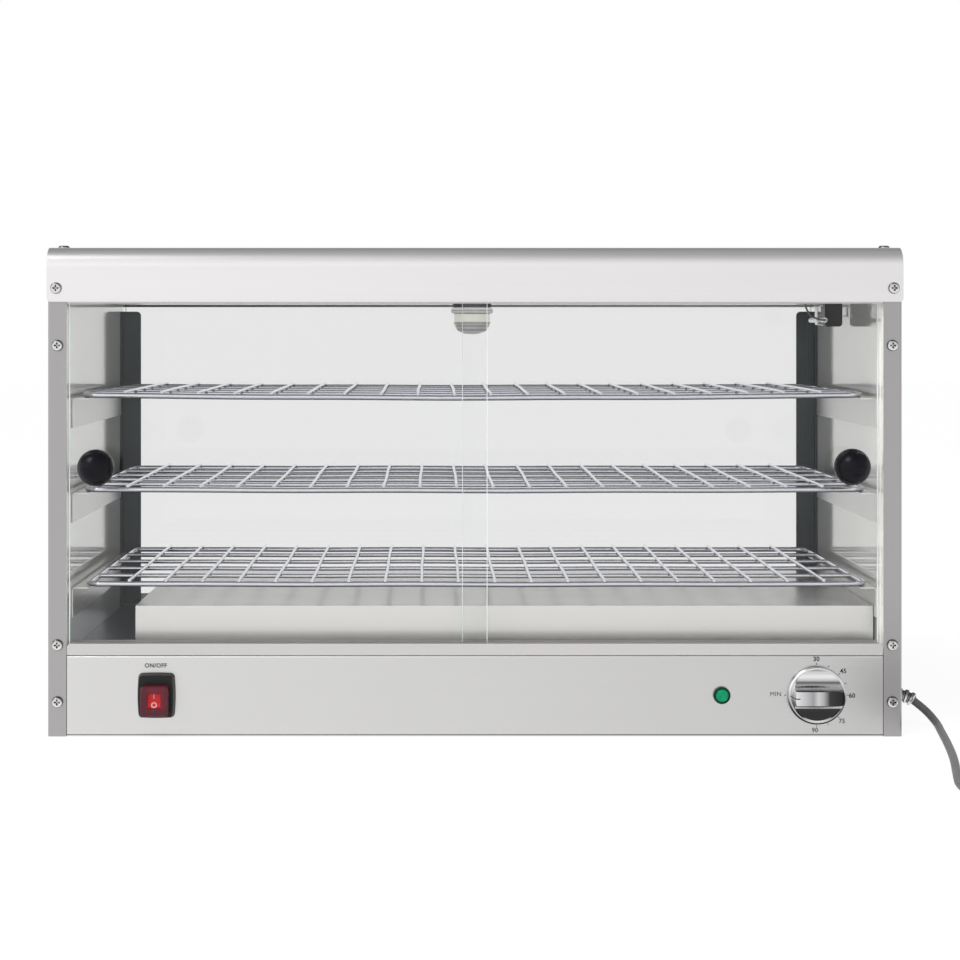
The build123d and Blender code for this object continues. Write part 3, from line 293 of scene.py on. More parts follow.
def along(spots, radius, closed=False, sides=16):
    """A bar of one radius through spots, pointing from each spot's neighbour to the next."""
    last = len(spots) - 1
    rings = []
    for index, spot in enumerate(spots):
        before = spots[index - 1] if index or closed else spot
        after = spots[(index + 1) % len(spots)] if index < last or closed else spot
        rings.append((spot, (after - before).normalized(), radius))
    return tube(rings, sides, closed)


# %% [markdown]
# ## The racks
#
# A wire rack that has carried loads sags: the top one's front bar hangs two millimetres or so in
# the middle, and no wire in it is quite straight. So the racks are drawn again as smooth round
# wire, with the frame, the cross rods and the twenty wires all lowered by one curve that is
# deepest at the front middle. The cross rods' faces take a second, darker finish.

# %% Racks
RACK_HALF = mm(346)
RACK_FRONT = mm(-145.5)
RACK_REAR = mm(138)
RACK_CORNER = mm(11)
WIRE_PITCH = mm(32.5)
WIRE_COUNT = 20
FRAME_RADIUS = mm(2.5)
ROD_RADIUS = mm(2)
WIRE_RADIUS = mm(1.5)
ROD_LIFT = mm(0.5)
WIRE_LIFT = mm(3.4)
WIRE_PAST_FRAME = mm(2)
ROD_ROWS = 5
STATIONS = 22
WIRE_STATIONS = 10
CORNER_STEPS = 8
WAVE = mm(0.25)
DRIFT = mm(0.5)


def rack_frame():
    """Spots round the frame of a rack, with rounded corners."""
    spots = []
    inner = RACK_HALF - RACK_CORNER
    corners = ((inner, RACK_REAR - RACK_CORNER, 0), (-inner, RACK_REAR - RACK_CORNER, 90),
               (-inner, RACK_FRONT + RACK_CORNER, 180), (inner, RACK_FRONT + RACK_CORNER, 270))
    for number, (x, y, start) in enumerate(corners):
        for c, s in corner_arc(start, CORNER_STEPS):
            spots.append(Vector((x + RACK_CORNER * c, y + RACK_CORNER * s, 0)))
        if number in (0, 2):
            here = spots[-1]
            far = -here.x
            spots += [Vector((here.x + (far - here.x) * k / STATIONS, here.y, 0)) for k in range(1, STATIONS)]
    return spots


def sagging_rack(level, sag):
    """One wire rack, lowered by the curve of its own weight."""
    low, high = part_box("rack_" + level)
    centre = Vector(((low.x + high.x) / 2, 0, low.z + FRAME_RADIUS))

    def settle(spot):
        """Move a flat spot to the rack's place and let it sag."""
        span = 1 - min(abs(spot.x) / RACK_HALF, 1) ** 2
        front = (RACK_REAR - spot.y) / (RACK_REAR - RACK_FRONT)
        wave = WAVE * math.sin(spot.x * 31 + sag * 900)
        return centre + spot - Vector((0, 0, (sag * (0.35 + 0.65 * front) + wave) * span))

    parts = [along([settle(spot) for spot in rack_frame()], FRAME_RADIUS, closed=True)]
    for row in range(1, ROD_ROWS):
        y = RACK_FRONT + (RACK_REAR - RACK_FRONT) * row / ROD_ROWS
        xs = [RACK_HALF * (2 * k / STATIONS - 1) for k in range(STATIONS + 1)]
        parts.append(along([settle(Vector((x, y, ROD_LIFT))) for x in xs], ROD_RADIUS))
    start = RACK_FRONT - WIRE_PAST_FRAME
    end = RACK_REAR + WIRE_PAST_FRAME
    for index in range(WIRE_COUNT):
        x = (index - (WIRE_COUNT - 1) / 2) * WIRE_PITCH
        spots = []
        for k in range(WIRE_STATIONS + 1):
            share = k / WIRE_STATIONS
            drift = DRIFT * math.sin(index * 2.7 + k * 0.6) * math.sin(math.pi * share)
            spots.append(settle(Vector((x + drift, start + (end - start) * share, WIRE_LIFT))))
        parts.append(along(spots, WIRE_RADIUS, sides=12))
    rack = joined(f"rack_{level}_wires", parts, "cabinet")
    first = len(parts[0][1])
    rods = sum(len(faces) for vertices, faces in parts[1:ROD_ROWS])
    for face in rack.data.polygons[first:first + rods]:
        face.material_index = 1
    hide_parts("rack_" + level)


LEVELS = ("low", "mid", "top")
for level, sag in zip(LEVELS, (0.4, 0.9, 2.4)):
    sagging_rack(level, mm(sag))

# %% [markdown]
# ## The gland, the lamp's cap and the rocker
#
# Three small parts carry the detail that a plain solid leaves out. The gland's flexible end has
# three ribs along its bend. The lamp's cap is pressed glass: a fluted rim to grip, a straight
# band and a stepped dome. The rocker is one rounded block with two flats that meet in a valley.

# %% Gland
GLAND_START = mm(384, -115, 25.5)
GLAND_FLANGE = mm(374.3, -115, 25.5)


def gland_spot(share):
    """A spot and a direction on the arc of the gland's flexible end."""
    chord = GLAND_MOUTH - GLAND_START
    start_way = Vector((1, 0, 0))
    down = (chord - start_way * chord.x).normalized()
    half_turn = start_way.angle(chord)
    radius = chord.length / (2 * math.sin(half_turn))
    angle = 2 * half_turn * share
    spot = GLAND_START + start_way * radius * math.sin(angle) + down * radius * (1 - math.cos(angle))
    return spot, start_way * math.cos(angle) + down * math.sin(angle)


def ribbed_gland():
    """Hexagon nut, collar and a flexible end with three ribs."""
    straight = Vector((1, 0, 0))
    nut = [(0.0, 8.9), (0.4, 9.5), (4.4, 9.5), (5.0, 8.9)]
    collar = [(4.9, 6.9), (9.2, 7.0), (9.7, 6.7)]
    parts = [tube([(GLAND_FLANGE + straight * mm(run), straight, mm(wide)) for run, wide in rows], sides)
             for rows, sides in ((nut, 6), (collar, 28))]
    rings = []
    for start in (0.02, 0.36, 0.70):
        for ahead, swell in ((0.0, 0.0), (0.05, 1.0), (0.19, 1.0), (0.25, 0.0), (0.29, 0.0)):
            spot, way = gland_spot(start + ahead)
            rings.append((spot, way, mm(5.0 + 1.35 * swell)))
    rings[-1] = (*gland_spot(1.0), mm(4.6))
    parts.append(tube(rings, 18))
    return joined("ribbed_gland", parts, "cabinet", 24)


gland = ribbed_gland()
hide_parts("cable_gland")

# %% Lamp cap
LAMP_PLACE = Matrix.Translation(Vector((0, middle("lamp_glass").y, 0)))


def lamp_profile():
    """Radius and height pairs of the cap, up the outside and down the inside, in metres."""
    pairs = [(0.0, 351.9)]
    for step in range(1, 25):
        angle = math.pi / 2 * step / 24
        ridge = 0.35 * math.cos(8 * angle) if step > 6 else 0
        pairs.append((17.0 * math.sin(angle) ** 0.75 + ridge, 351.9 + 11.1 * (1 - math.cos(angle))))
    pairs += [(16.8, 363.3), (17.2, 363.9), (17.2, 370.6), (16.7, 371.1), (17.6, 371.5), (19.3, 371.7),
              (19.7, 372.3), (19.7, 376.1), (19.2, 376.7), (12.5, 376.7), (12.5, 385.6), (10.6, 385.6),
              (10.6, 373.4), (15.2, 371.6), (15.2, 363.4)]
    for step in range(10, -1, -1):
        angle = math.pi / 2 * step / 11
        pairs.append((15.0 * math.sin(angle) ** 0.75, 354.0 + 9.2 * (1 - math.cos(angle))))
    return [(mm(radius), mm(height)) for radius, height in pairs]


def fluted_cap():
    """Pressed glass cap, with flutes round its rim."""
    cap = turned("fluted_cap", lamp_profile(), LAMP_PLACE, "lamp_cap", 120, 30)
    axis_y = middle("lamp_glass").y
    for vertex in cap.data.vertices:
        out = Vector((vertex.co.x, vertex.co.y - axis_y, 0))
        if out.length > mm(19) and mm(371.6) < vertex.co.z < mm(376.6):
            flute = 1 - 0.022 * (1 + math.cos(30 * math.atan2(out.y, out.x))) / 2
            vertex.co.x = out.x * flute
            vertex.co.y = axis_y + out.y * flute
    return cap


cap = fluted_cap()
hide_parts("lamp_glass")

# %% Rocker
ROCKER_TILT = math.radians(-10)
ROCKER_PIVOT = mm(-278.7, -172, 33.4)


def rocker_place(lift=0.0, up=0.0, slope=0.0, across=0.0):
    """Matrix of a spot on the tilted rocker: so far out, so far up, and sloped by an angle."""
    tilt = Matrix.Translation(ROCKER_PIVOT) @ Matrix.Rotation(ROCKER_TILT, 4, "X")
    return tilt @ Matrix.Translation(Vector((across, -lift, up))) @ Matrix.Rotation(slope, 4, "X")


def rocker_block():
    """Rocking block: two flats that meet in a valley, on a broader foot."""
    face = [(17.0, 8.6), (16.3, 0.0), (17.0, -8.6), (6.0, -9.3), (6.0, 9.3)]
    foot = [(5.9, 10.4), (5.9, -10.4), (0.0, -10.4), (-5.8, -7.2), (-5.8, 7.2), (0.0, 10.4)]
    place = rocker_place()
    parts = []
    for outline, half in ((face, mm(6.4)), (foot, mm(8.4))):
        spots = [place @ Vector((x, -mm(out), mm(up))) for x in (-half, half) for out, up in outline]
        parts.append((spots, capped_faces(2, len(outline))))
    block = joined("rocker_block", parts, "rocker")
    reworked(block.data, lambda work: bmesh.ops.bevel(work, geom=work.edges, offset=mm(0.7), segments=3,
                                                      profile=0.6, affect="EDGES"))
    block.data.shade_smooth()
    block.data.set_sharp_from_angle(angle=math.radians(50))
    return block


rocker = rocker_block()
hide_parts("rocker_paddle")

# %% [markdown]
# ## The tie and the plug
#
# A put-away lead is held by a soft strap round all its turns. The strap is a flat band that goes
# round the bundle's cross-section: up the inside, over the top, down the outside and underneath,
# where it is pressed almost to nothing, so that it stays above the counter. The plug is a grip
# with finger ribs, so the plain solid is replaced by one with the same outline.

# %% Tie round the coil
TIE_WIDTH = mm(11)
TIE_THICKNESS = mm(1.2)
TIE_ANGLE = math.radians(150)
THIN_BELOW = 0.04


def coil_tie():
    """Strap round the bundle on the coil's far side from the plug."""
    inner = COIL_INNER_RADIUS - LEAD_DIAMETER * 0.62
    outer = COIL_INNER_RADIUS + COIL_PITCH * (QUARTERS_OUT + 1) / 4 + LEAD_DIAMETER * 0.5
    low = mm(0.06)
    high = LEAD_REST + COIL_PITCH + LEAD_DIAMETER * 0.56
    corner = mm(3.4)
    outwards, across = flat_ways(TIE_ANGLE)
    base = Vector((COIL_CENTRE.x, COIL_CENTRE.y, 0))
    path = []
    for cx, cz, start in ((outer - corner, high - corner, 0), (inner + corner, high - corner, 90),
                          (inner + corner, low + corner, 180), (outer - corner, low + corner, 270)):
        for c, s in corner_arc(start, 6):
            way = outwards * c + Vector((0, 0, s))
            spot = base + outwards * cx + Vector((0, 0, cz)) + way * corner
            thinned = way * (THIN_BELOW if way.z < -0.4 else 1.0)
            path.append((spot, thinned, across))
    thick = TIE_THICKNESS
    half = TIE_WIDTH / 2
    section = [(0, -half), (thick * 0.7, -half), (thick, -half + thick * 0.4), (thick, half - thick * 0.4),
               (thick * 0.7, half), (0, half)]
    return loop_band("coil_tie", path, section, "cabinet")


tie = coil_tie()

# %% Plug body
PLUG_RELIEF = mm(24)
RELIEF_ROWS = 12
PLUG_SIDES = 40
# Rows of the grip: run, half width, half height, and a power that squares the outline.
GRIP_ROWS = [(25.5, 9.5, 8.6, 2.6), (28.5, 12.2, 10.4, 3.4), (33, 12.9, 11.0, 4.0), (38, 12.2, 10.9, 4.0),
             (43, 12.6, 11.0, 4.0), (46, 15.0, 11.0, 4.4), (47.5, 16.8, 11.05, 4.6), (53.6, 17.0, 11.05, 4.8),
             (54.8, 16.4, 10.5, 4.8)]


def plug_grip():
    """Moulded plug: ribbed relief, waisted grip and a flange at the pins' face."""
    end, way = coil_spot(QUARTERS_IN + QUARTERS_CLIMB + QUARTERS_OUT)
    spot = end + way * COIL_TAIL
    across = Vector((0, 0, 1)).cross(way)
    rows = []
    for index in range(RELIEF_ROWS + 1):
        share = index / RELIEF_ROWS
        rib = mm(0.7) if index % 2 else 0
        radius = mm(5.2) + share * mm(1.6) - rib
        rows.append((PLUG_RELIEF * share, radius, radius, 2.0))
    rows += [(mm(run), mm(wide), mm(tall), power) for run, wide, tall, power in GRIP_ROWS]
    vertices = []
    for run, wide, tall, power in rows:
        for c, s in circle(PLUG_SIDES):
            u = math.copysign(abs(c) ** (2 / power), c) * wide
            v = math.copysign(abs(s) ** (2 / power), s) * tall
            vertices.append(spot + way * run + across * u + Vector((0, 0, v)))
    return mesh_piece("plug_grip", vertices, capped_faces(len(rows), PLUG_SIDES), "cabinet", 40)


plug = plug_grip()
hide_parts("plug_body")

# %% [markdown]
# ## Shader arithmetic
#
# A finish is easier to read as a formula than as a web of nodes. `Wire` wraps one socket, and
# adding, subtracting or multiplying wires adds the node that does it. Numbers go through Math
# nodes, while colours and vectors go through Vector Math or Mix, because a Math node would turn a
# colour grey. `Finish` holds one material and makes any other node from its type, its settings
# and the values or wires of its sockets. Its short methods name the nodes that recur.

# %% Shader classes
class Wire:
    """A socket in a finish, with arithmetic on it."""

    def __init__(self, finish, socket):
        self.finish = finish
        self.socket = socket

    def combined(self, operation, first, second):
        """The node for one operation on two values, of which at least one is a wire."""
        flat = [value for value in (first, second) if isinstance(value, Wire)]
        numbers = all(wire.socket.type == "VALUE" for wire in flat)
        numbers = numbers and not any(isinstance(value, tuple) for value in (first, second))
        kind = "ShaderNodeMath" if numbers else "ShaderNodeVectorMath"
        return self.finish.node(kind, {"operation": operation}, {0: first, 1: second})

    def __add__(self, other):
        return self.combined("ADD", self, other)

    def __radd__(self, other):
        return self.combined("ADD", other, self)

    def __sub__(self, other):
        return self.combined("SUBTRACT", self, other)

    def __rsub__(self, other):
        return self.combined("SUBTRACT", other, self)

    def __mul__(self, other):
        return self.combined("MULTIPLY", self, other)

    def __rmul__(self, other):
        return self.combined("MULTIPLY", other, self)

    def __gt__(self, other):
        return self.combined("GREATER_THAN", self, other)

    def __abs__(self):
        return self.finish.node("ShaderNodeMath", {"operation": "ABSOLUTE"}, {0: self})


class Finish:
    """One material, or the world, and the nodes that make it."""

    def __init__(self, name, kind=bpy.data.materials):
        self.owner = kind.new(name)
        self.owner.use_nodes = True
        self.tree = self.owner.node_tree
        self.tree.nodes.clear()

    def node(self, kind, settings=None, inputs=None, output=0):
        """Any node: its settings first, then its sockets, and one of its outputs as a wire."""
        made = self.tree.nodes.new(kind)
        for name, value in (settings or {}).items():
            if name == "stops":
                ramp = made.color_ramp.elements
                for index, (position, colour) in enumerate(value):
                    stop = ramp[index] if index < 2 else ramp.new(position)
                    stop.position = position
                    stop.color = (*colour, 1)
            else:
                setattr(made, name, value)
        for name, value in (inputs or {}).items():
            self.feed(made.inputs[name], value)
        return Wire(self, made.outputs[output])

    def feed(self, socket, value):
        """Link a wire to a socket, or set the socket's own value."""
        if isinstance(value, Wire):
            self.tree.links.new(value.socket, socket)
        elif socket.type == "RGBA" and len(value) == 3:
            socket.default_value = (*value, 1)
        elif socket.type == "VECTOR" and not isinstance(value, tuple):
            socket.default_value = (value, value, value)
        else:
            socket.default_value = value

    def facing(self, name):
        """One coordinate of the way that the surface faces, before any bump."""
        return self.axis(self.node("ShaderNodeNewGeometry", output="Normal"), name)

    def axis(self, vector, name):
        """One coordinate of a vector, as a number."""
        return self.node("ShaderNodeSeparateXYZ", inputs={0: vector}, output=name)

    def length(self, vector):
        """The length of a vector."""
        return self.node("ShaderNodeVectorMath", {"operation": "LENGTH"}, {0: vector}, output=1)

    def spread(self, value, low, high, first=0.0, last=1.0):
        """A number carried from the range low to high onto first to last, and held at its ends."""
        inputs = {"Value": value, "From Min": low, "From Max": high, "To Min": first, "To Max": last}
        return self.node("ShaderNodeMapRange", inputs=inputs)

    def ramp(self, value, *stops):
        """A colour that changes along a number. A stop's tone is a colour, or one number for grey."""
        colours = [(spot, tone if isinstance(tone, tuple) else (tone,) * 3) for spot, tone in stops]
        return self.node("ShaderNodeValToRGB", {"stops": colours}, {"Fac": value})

    def ray(self, kind):
        """One where the ray is of that kind, and zero elsewhere."""
        return self.node("ShaderNodeLightPath", output=f"Is {kind} Ray")

    def place(self, scale=1):
        """The piece's own coordinates in metres, times one number, or one each for X, Y and Z."""
        spot = self.node("ShaderNodeTexCoord", output="Object")
        return spot * (scale if isinstance(scale, tuple) else (scale,) * 3)

    def noise(self, scale, detail=2.0, roughness=0.5):
        """Soft noise between 0 and 1, with so many features to a metre."""
        inputs = {"Vector": self.place(scale), "Scale": 1.0, "Detail": detail, "Roughness": roughness}
        return self.node("ShaderNodeTexNoise", inputs=inputs)

    def blend(self, factor, first, second):
        """A colour between two colours."""
        inputs = {0: factor, 6: first, 7: second}
        return self.node("ShaderNodeMix", {"data_type": "RGBA"}, inputs, output=2)

    def bump(self, height, depth, strength=1.0):
        """A normal from a height between 0 and 1, so many metres deep."""
        return self.node("ShaderNodeBump", inputs={"Height": height, "Distance": depth, "Strength": strength},
                         output="Normal")

    def gloss(self, **sockets):
        """The main shader, with its sockets by name and underscores for spaces."""
        inputs = {}
        for name, value in sockets.items():
            inputs[name.replace("_", " ").title().replace("Ior", "IOR")] = value
        return self.node("ShaderNodeBsdfPrincipled", inputs=inputs, output="BSDF")

    def clear(self, tint):
        """Light that goes straight through, with a tint."""
        return self.node("ShaderNodeBsdfTransparent", inputs={"Color": tint})

    def mix(self, share, first, second):
        """A shader between two shaders."""
        return self.node("ShaderNodeMixShader", inputs={0: share, 1: first, 2: second})

    def show(self, shader, kind="ShaderNodeOutputMaterial"):
        """Send a shader to the surface, and give back the material or the world."""
        out = self.tree.nodes.new(kind)
        self.tree.links.new(shader.socket, out.inputs["Surface"])
        return self.owner


finished = set()


def dress(material, *names):
    """Give nodes or pieces their material."""
    for name in names:
        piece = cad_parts.get(name) or bpy.data.objects[name]
        piece.data.materials.clear()
        piece.data.materials.append(material)
        finished.add(piece.name)


# %% [markdown]
# ## Brushed steel
#
# Brushed stainless carries fine scratches along one direction. They are stretched noise: long
# along the grain and a fraction of a millimetre across. The scratches change the roughness and
# tilt the normal a little, and a broad, faint cloud keeps a large sheet from looking printed.
# The same recipe with less roughness gives the polished inside of the chamber. Where the light falls
# off across the room, a sheet gets painted shade or painted light towards its right end, and its
# faces that point up get painted light or shade of their own. Some dark sheets are painted shade or
# a painted reflection.

# %% Steel finishes
def steel(name, tone, roughness, grain, streak=0.06, depth=0.00001, metallic=1.0, right_light_share=1.0, top=1.0):
    """Brushed steel, grain along an axis. The share at the right and the top share paint light or shade into
    its tone.
    """
    finish = Finish(name)
    fine = {"x": (6, 1500, 1500), "y": (1500, 6, 1500), "z": (1500, 1500, 6)}[grain]
    broad = {"x": (1.2, 90, 90), "y": (90, 1.2, 90), "z": (90, 90, 1.2)}[grain]
    scratches = finish.noise(fine, 2.0, 0.6)
    bands = finish.noise(broad)
    clouds = finish.noise(5)
    shade = scratches * 0.5 + bands * 0.3 + clouds * 0.2
    dark = tuple(channel * (1 - streak) for channel in tone)
    light = tuple(min(channel * (1 + streak), 0.98) for channel in tone)
    rough = scratches * 0.10 + bands * 0.05 + (roughness - 0.075)
    # Painted light and shade: the tone changes towards the right end and on faces that point up, as the light
    # falls.
    painted_side_light = finish.spread(finish.axis(finish.place(), "X"), -0.37, 0.37, 1.0, right_light_share)
    lift = finish.spread(finish.facing("Z"), 0.15, 0.45, 1.0, top)
    colour = finish.blend(shade, dark, light) * painted_side_light * lift
    return finish.show(finish.gloss(base_color=colour, metallic=metallic,
                                    roughness=rough, normal=finish.bump(scratches, depth, 0.6)))


dress(steel("hood_steel", (0.84, 0.825, 0.835), 0.30, "x", 0.05), "top_cover")
dress(steel("side_steel", (0.41, 0.40, 0.40), 0.34, "z"), "left_side_panel", "right_side_panel")
# Painted light and shade: the lower sheets darken towards the right end, and faces that point up are painted
# lighter.
dress(steel("base_steel", (0.69, 0.685, 0.68), 0.30, "x", 0.04, right_light_share=0.80, top=1.6),
      "control_fascia", "rear_base_panel", "base_pan")
dress(steel("chamber_steel", (0.90, 0.90, 0.85), 0.09, "z", 0.03, 0.000002, 0.35),
      "left_inner_wall", "right_inner_wall")
dress(steel("ceiling_steel", (0.72, 0.72, 0.72), 0.2, "x", 0.03, 0.000004), "ceiling_panel")
dress(steel("floor_steel", (0.045, 0.07, 0.12), 0.30, "x", 0.08), "chamber_floor")
# Painted light: the cover darkens a little towards the right, and its top is painted lighter.
dress(steel("cover_steel", (0.74, 0.73, 0.71), 0.24, "x", 0.05, 0.000004, 0.7, 0.94, 1.3), "element_cover")
dress(steel("track_steel", (0.60, 0.585, 0.58), 0.42, "x", 0.05, metallic=0.85),
      "door_sill_track", "door_head_track", "rear_sill_channel")
# Painted shade: the rear head channel is near black where it lies in shadow, and lightens towards its right
# end.
dress(steel("channel_painted_shade", (0.03, 0.03, 0.03), 0.42, "x", 0.05, metallic=0.85, right_light_share=12),
      "rear_head_channel")
# Painted reflection: the posts' dark tone stands in for the dark room that their polished faces mirror.
dress(steel("post_painted_reflection", (0.018, 0.028, 0.036), 0.26, "z", 0.15, 0.00001, 0.5),
      "left_rear_post", "right_rear_post")
BRACKETS = [f"shelf_bracket_{side}_{level}" for side in ("left", "right") for level in LEVELS]
dress(steel("bracket_steel", (0.74, 0.73, 0.72), 0.3, "y", 0.04, metallic=0.7), *BRACKETS)
dress(steel("spring_steel", (0.6, 0.6, 0.6), 0.2, "y", 0.05), "probe_bulb", "probe_bracket", "element_clips")
dress(steel("shaft_steel", (0.6, 0.6, 0.6), 0.2, "y", 0.05), "thermostat_shaft")

# %% [markdown]
# ## Chrome, nickel and other bright metal
#
# The racks and the dial knob are chromed: nearly a mirror, very faintly blue, with a trace of
# waviness from the drawn wire underneath. What faces down is painted in shade, and the knob
# carries painted reflections in bands. Screw heads are turned steel and the gland is nickel: both
# get painted shade in their recesses and round their edges, read from how open each spot is.
# Brass is for the plug's pins, and spun aluminium for the lamp's can.

# %% Bright metal finishes
def bright(name, colour, roughness, waviness=0.00002, underside_shade=1.0):
    """Plated metal with faint waviness and smears, and painted shade on what faces down, which keeps only a
    share of its tone.
    """
    finish = Finish(name)
    smears = finish.noise(60, 3.0)
    ripples = finish.noise(400, 1.0)
    dull = tuple(channel * 0.86 for channel in colour)
    shaded = tuple(channel * underside_shade for channel in colour)
    # Painted shade: what faces down is darker, standing in for the dark that a bright surface mirrors below
    # it.
    lit = finish.spread(finish.facing("Z"), -0.75, 0.25)
    tone = finish.blend(lit, shaded, finish.blend(smears, dull, colour))
    rough = smears * 0.08 + (roughness - 0.04)
    return finish.show(finish.gloss(base_color=tone, metallic=1.0, roughness=rough,
                                    normal=finish.bump(ripples, waviness, 0.5)))


RACKS = [f"rack_{level}_wires" for level in LEVELS]
dress(bright("rack_chrome", (0.84, 0.84, 0.92), 0.14, underside_shade=0.22), *RACKS)
rod_chrome = bright("rod_chrome", (0.13, 0.145, 0.18), 0.16, underside_shade=0.4)
for rack_name in RACKS:
    bpy.data.objects[rack_name].data.materials.append(rod_chrome)
dress(bright("pin_brass", (0.80, 0.66, 0.36), 0.22), "plug_pins")
dress(bright("lamp_can_metal", (0.72, 0.72, 0.72), 0.3), "lamp_holder")
dress(bright("element_sheath", (0.30, 0.29, 0.30), 0.35), "heating_element")
dress(bright("probe_wire", (0.20, 0.20, 0.20), 0.35), "probe_capillary")


def screw_metal(name, reach, tone, edge):
    """Turned steel with painted shade in its recesses, round its edge and where it faces up."""
    finish = Finish(name)
    open_share = finish.node("ShaderNodeAmbientOcclusion", {"samples": 8}, {"Distance": reach}, output="AO")
    smears = finish.noise(500)
    # Painted shade: dark where little of the room is open, on the rim that faces aside and where the head
    # faces up.
    depth = finish.spread(open_share, 0.55, 0.95)
    flat = finish.spread(abs(finish.facing("Y")), edge - 0.3, edge + 0.3, 0.10, 1.0)
    shade = finish.spread(finish.facing("Z"), -0.10, 0.35, 1.0, 0.38)
    share = depth * flat * shade
    return finish.show(finish.gloss(base_color=finish.blend(share, (0.015, 0.015, 0.02), tone),
                                    metallic=1.0, roughness=smears * 0.1 + 0.15))


dress(screw_metal("screw_steel", 0.0016, (0.80, 0.80, 0.79), 0.68),
      "case_screws", "bracket_studs", "left_door_screw", "right_door_screw")
dress(screw_metal("gland_nickel", 0.003, (0.72, 0.72, 0.73), 0.3), "ribbed_gland")


def knob_chrome(name):
    """Chrome of the dial knob: painted reflections in bands by the slope and on a grip face that darkens to
    the right, and painted shade in the lower scoop.
    """
    finish = Finish(name)
    spot = finish.place() - tuple(middle("thermostat_knob"))
    slope = finish.facing("Z")
    # Painted reflection: the bands and the grip's tones stand in for the studio mirrored in the chrome; the
    # scoop gets painted shade.
    bands = finish.ramp(
        slope * 0.5 + 0.5, (0.0, 0.80), (0.03, 0.95), (0.10, 0.95), (0.14, 0.02), (0.40, 0.03), (0.44, 0.30),
        (0.54, (0.70, 0.70, 0.71)), (0.66, (0.92, 0.92, 0.93)), (0.74, (0.86, 0.86, 0.87)),
        (0.80, (0.22, 0.22, 0.23)), (0.86, 0.95), (0.95, 0.90), (1.0, 0.06))
    grip = finish.ramp(
        finish.spread(finish.axis(spot, "X"), -0.022, 0.022), (0.0, (0.75, 0.75, 0.76)),
        (0.22, (0.50, 0.50, 0.51)), (0.36, (0.33, 0.33, 0.34)), (0.46, (0.58, 0.58, 0.59)),
        (0.56, (0.42, 0.42, 0.43)), (0.68, 0.05), (1.0, 0.02))
    on_grip = (-0.0085 - finish.axis(spot, "Y")) > 0.0
    smears = finish.noise(90, 3.0)
    tone = finish.blend(on_grip * (1 - (abs(slope) > 0.3)), bands, grip)
    away = finish.length(spot * (1.0, 0.0, 1.0))
    scoop_shade = ((-0.0102 - finish.axis(spot, "Z")) > 0.0) * ((0.0216 - away) > 0.0)
    tone = finish.blend(scoop_shade, tone, (0.035, 0.035, 0.036))
    return finish.show(finish.gloss(base_color=tone, metallic=1.0, roughness=smears * 0.06 + 0.10))


dress(knob_chrome("knob_chrome"), "thermostat_knob")

# %% [markdown]
# ## Glass
#
# A pane in a picture is mostly clear: what shows is a faint grey-green tint, a mirror image at
# grazing angles and a bright line where a cut edge catches light. Real refraction in a flat pane
# moves nothing, so the face mixes a clear shader with a glossy one by Fresnel, and only the cut
# edges, whose normals don't point along Y, get a painted highlight or painted shade, one tone for
# each side, with a faint glow. The lamp's cap is thick, ringed glass that bends light out of sight.
# Tracing that through two panes is slow and noisy, so the light and dark of its rings are painted
# as tones that change with height, with a faint glow, over a small clear share.

# %% Glass finishes
def pane(name, tint, left_edge, right_edge):
    """Flat glass: clear faces, and cut edges with a painted highlight or painted shade on the left and on the
    right, glowing a little.
    """
    finish = Finish(name)
    is_edge = 1 - (abs(finish.facing("Y")) > 0.9)
    haze = finish.noise((4, 4, 7), 3.0)
    mirror = finish.node("ShaderNodeBsdfGlossy", inputs={"Color": (0.95, 0.96, 0.96), "Roughness": 0.02})
    gloss = finish.node("ShaderNodeFresnel", inputs={"IOR": 1.45}) * 0.4
    face = finish.mix(gloss + haze * 0.012, finish.clear(tint), mirror)
    # Painted highlight and shade on the cut edges, with a faint painted glow.
    cut = finish.blend(finish.facing("X") * 0.5 + 0.5, left_edge, right_edge)
    edge = finish.gloss(base_color=cut, roughness=0.15, emission_color=cut, emission_strength=0.3)
    return finish.show(finish.mix(is_edge, face, edge))


CUT_HIGHLIGHT = (0.95, 0.96, 0.95)
CUT_HALF_SHADE = (0.55, 0.60, 0.60)
CUT_SHADE = (0.24, 0.29, 0.29)
DOOR_TINT = (0.995, 0.996, 0.995)
dress(pane("left_glass", DOOR_TINT, CUT_SHADE, CUT_HIGHLIGHT), "left_door_glass")
dress(pane("right_glass", DOOR_TINT, CUT_HALF_SHADE, CUT_HIGHLIGHT), "right_door_glass")
dress(pane("back_glass", (0.893, 0.896, 0.893), CUT_HIGHLIGHT, CUT_HIGHLIGHT), "rear_glass")


def pressed_glass(name, body_share):
    """Moulded lamp glass: painted light and dark rings by height and a faint painted glow, and a share of the
    light goes through it.
    """
    finish = Finish(name)
    ripples = finish.noise(180)
    share = finish.spread(finish.axis(finish.place(), "Z"), 0.352, 0.377)
    # Painted light and shade: the ramp paints the rings that the thick glass bends and mirrors, and the
    # emission is a painted glow.
    tone = finish.ramp(
        share, (0.0, 0.16), (0.10, 0.42), (0.16, 0.22), (0.24, 0.46), (0.30, 0.24),
        (0.38, (0.44, 0.44, 0.43)), (0.43, 0.20), (0.47, (0.82, 0.82, 0.76)),
        (0.74, (0.84, 0.84, 0.78)), (0.78, 0.06),
        (0.82, (0.66, 0.66, 0.65)), (0.90, 0.32), (0.94, (0.80, 0.80, 0.79)), (1.0, (0.60, 0.60, 0.59)))
    body = finish.gloss(base_color=tone, roughness=0.10 + ripples * 0.08, specular_ior_level=0.8,
                        emission_color=tone, emission_strength=0.28,
                        normal=finish.bump(ripples, 0.0002, 0.5))
    return finish.show(finish.mix(ripples * 0.1 + body_share, finish.clear((0.95, 0.95, 0.92)), body))


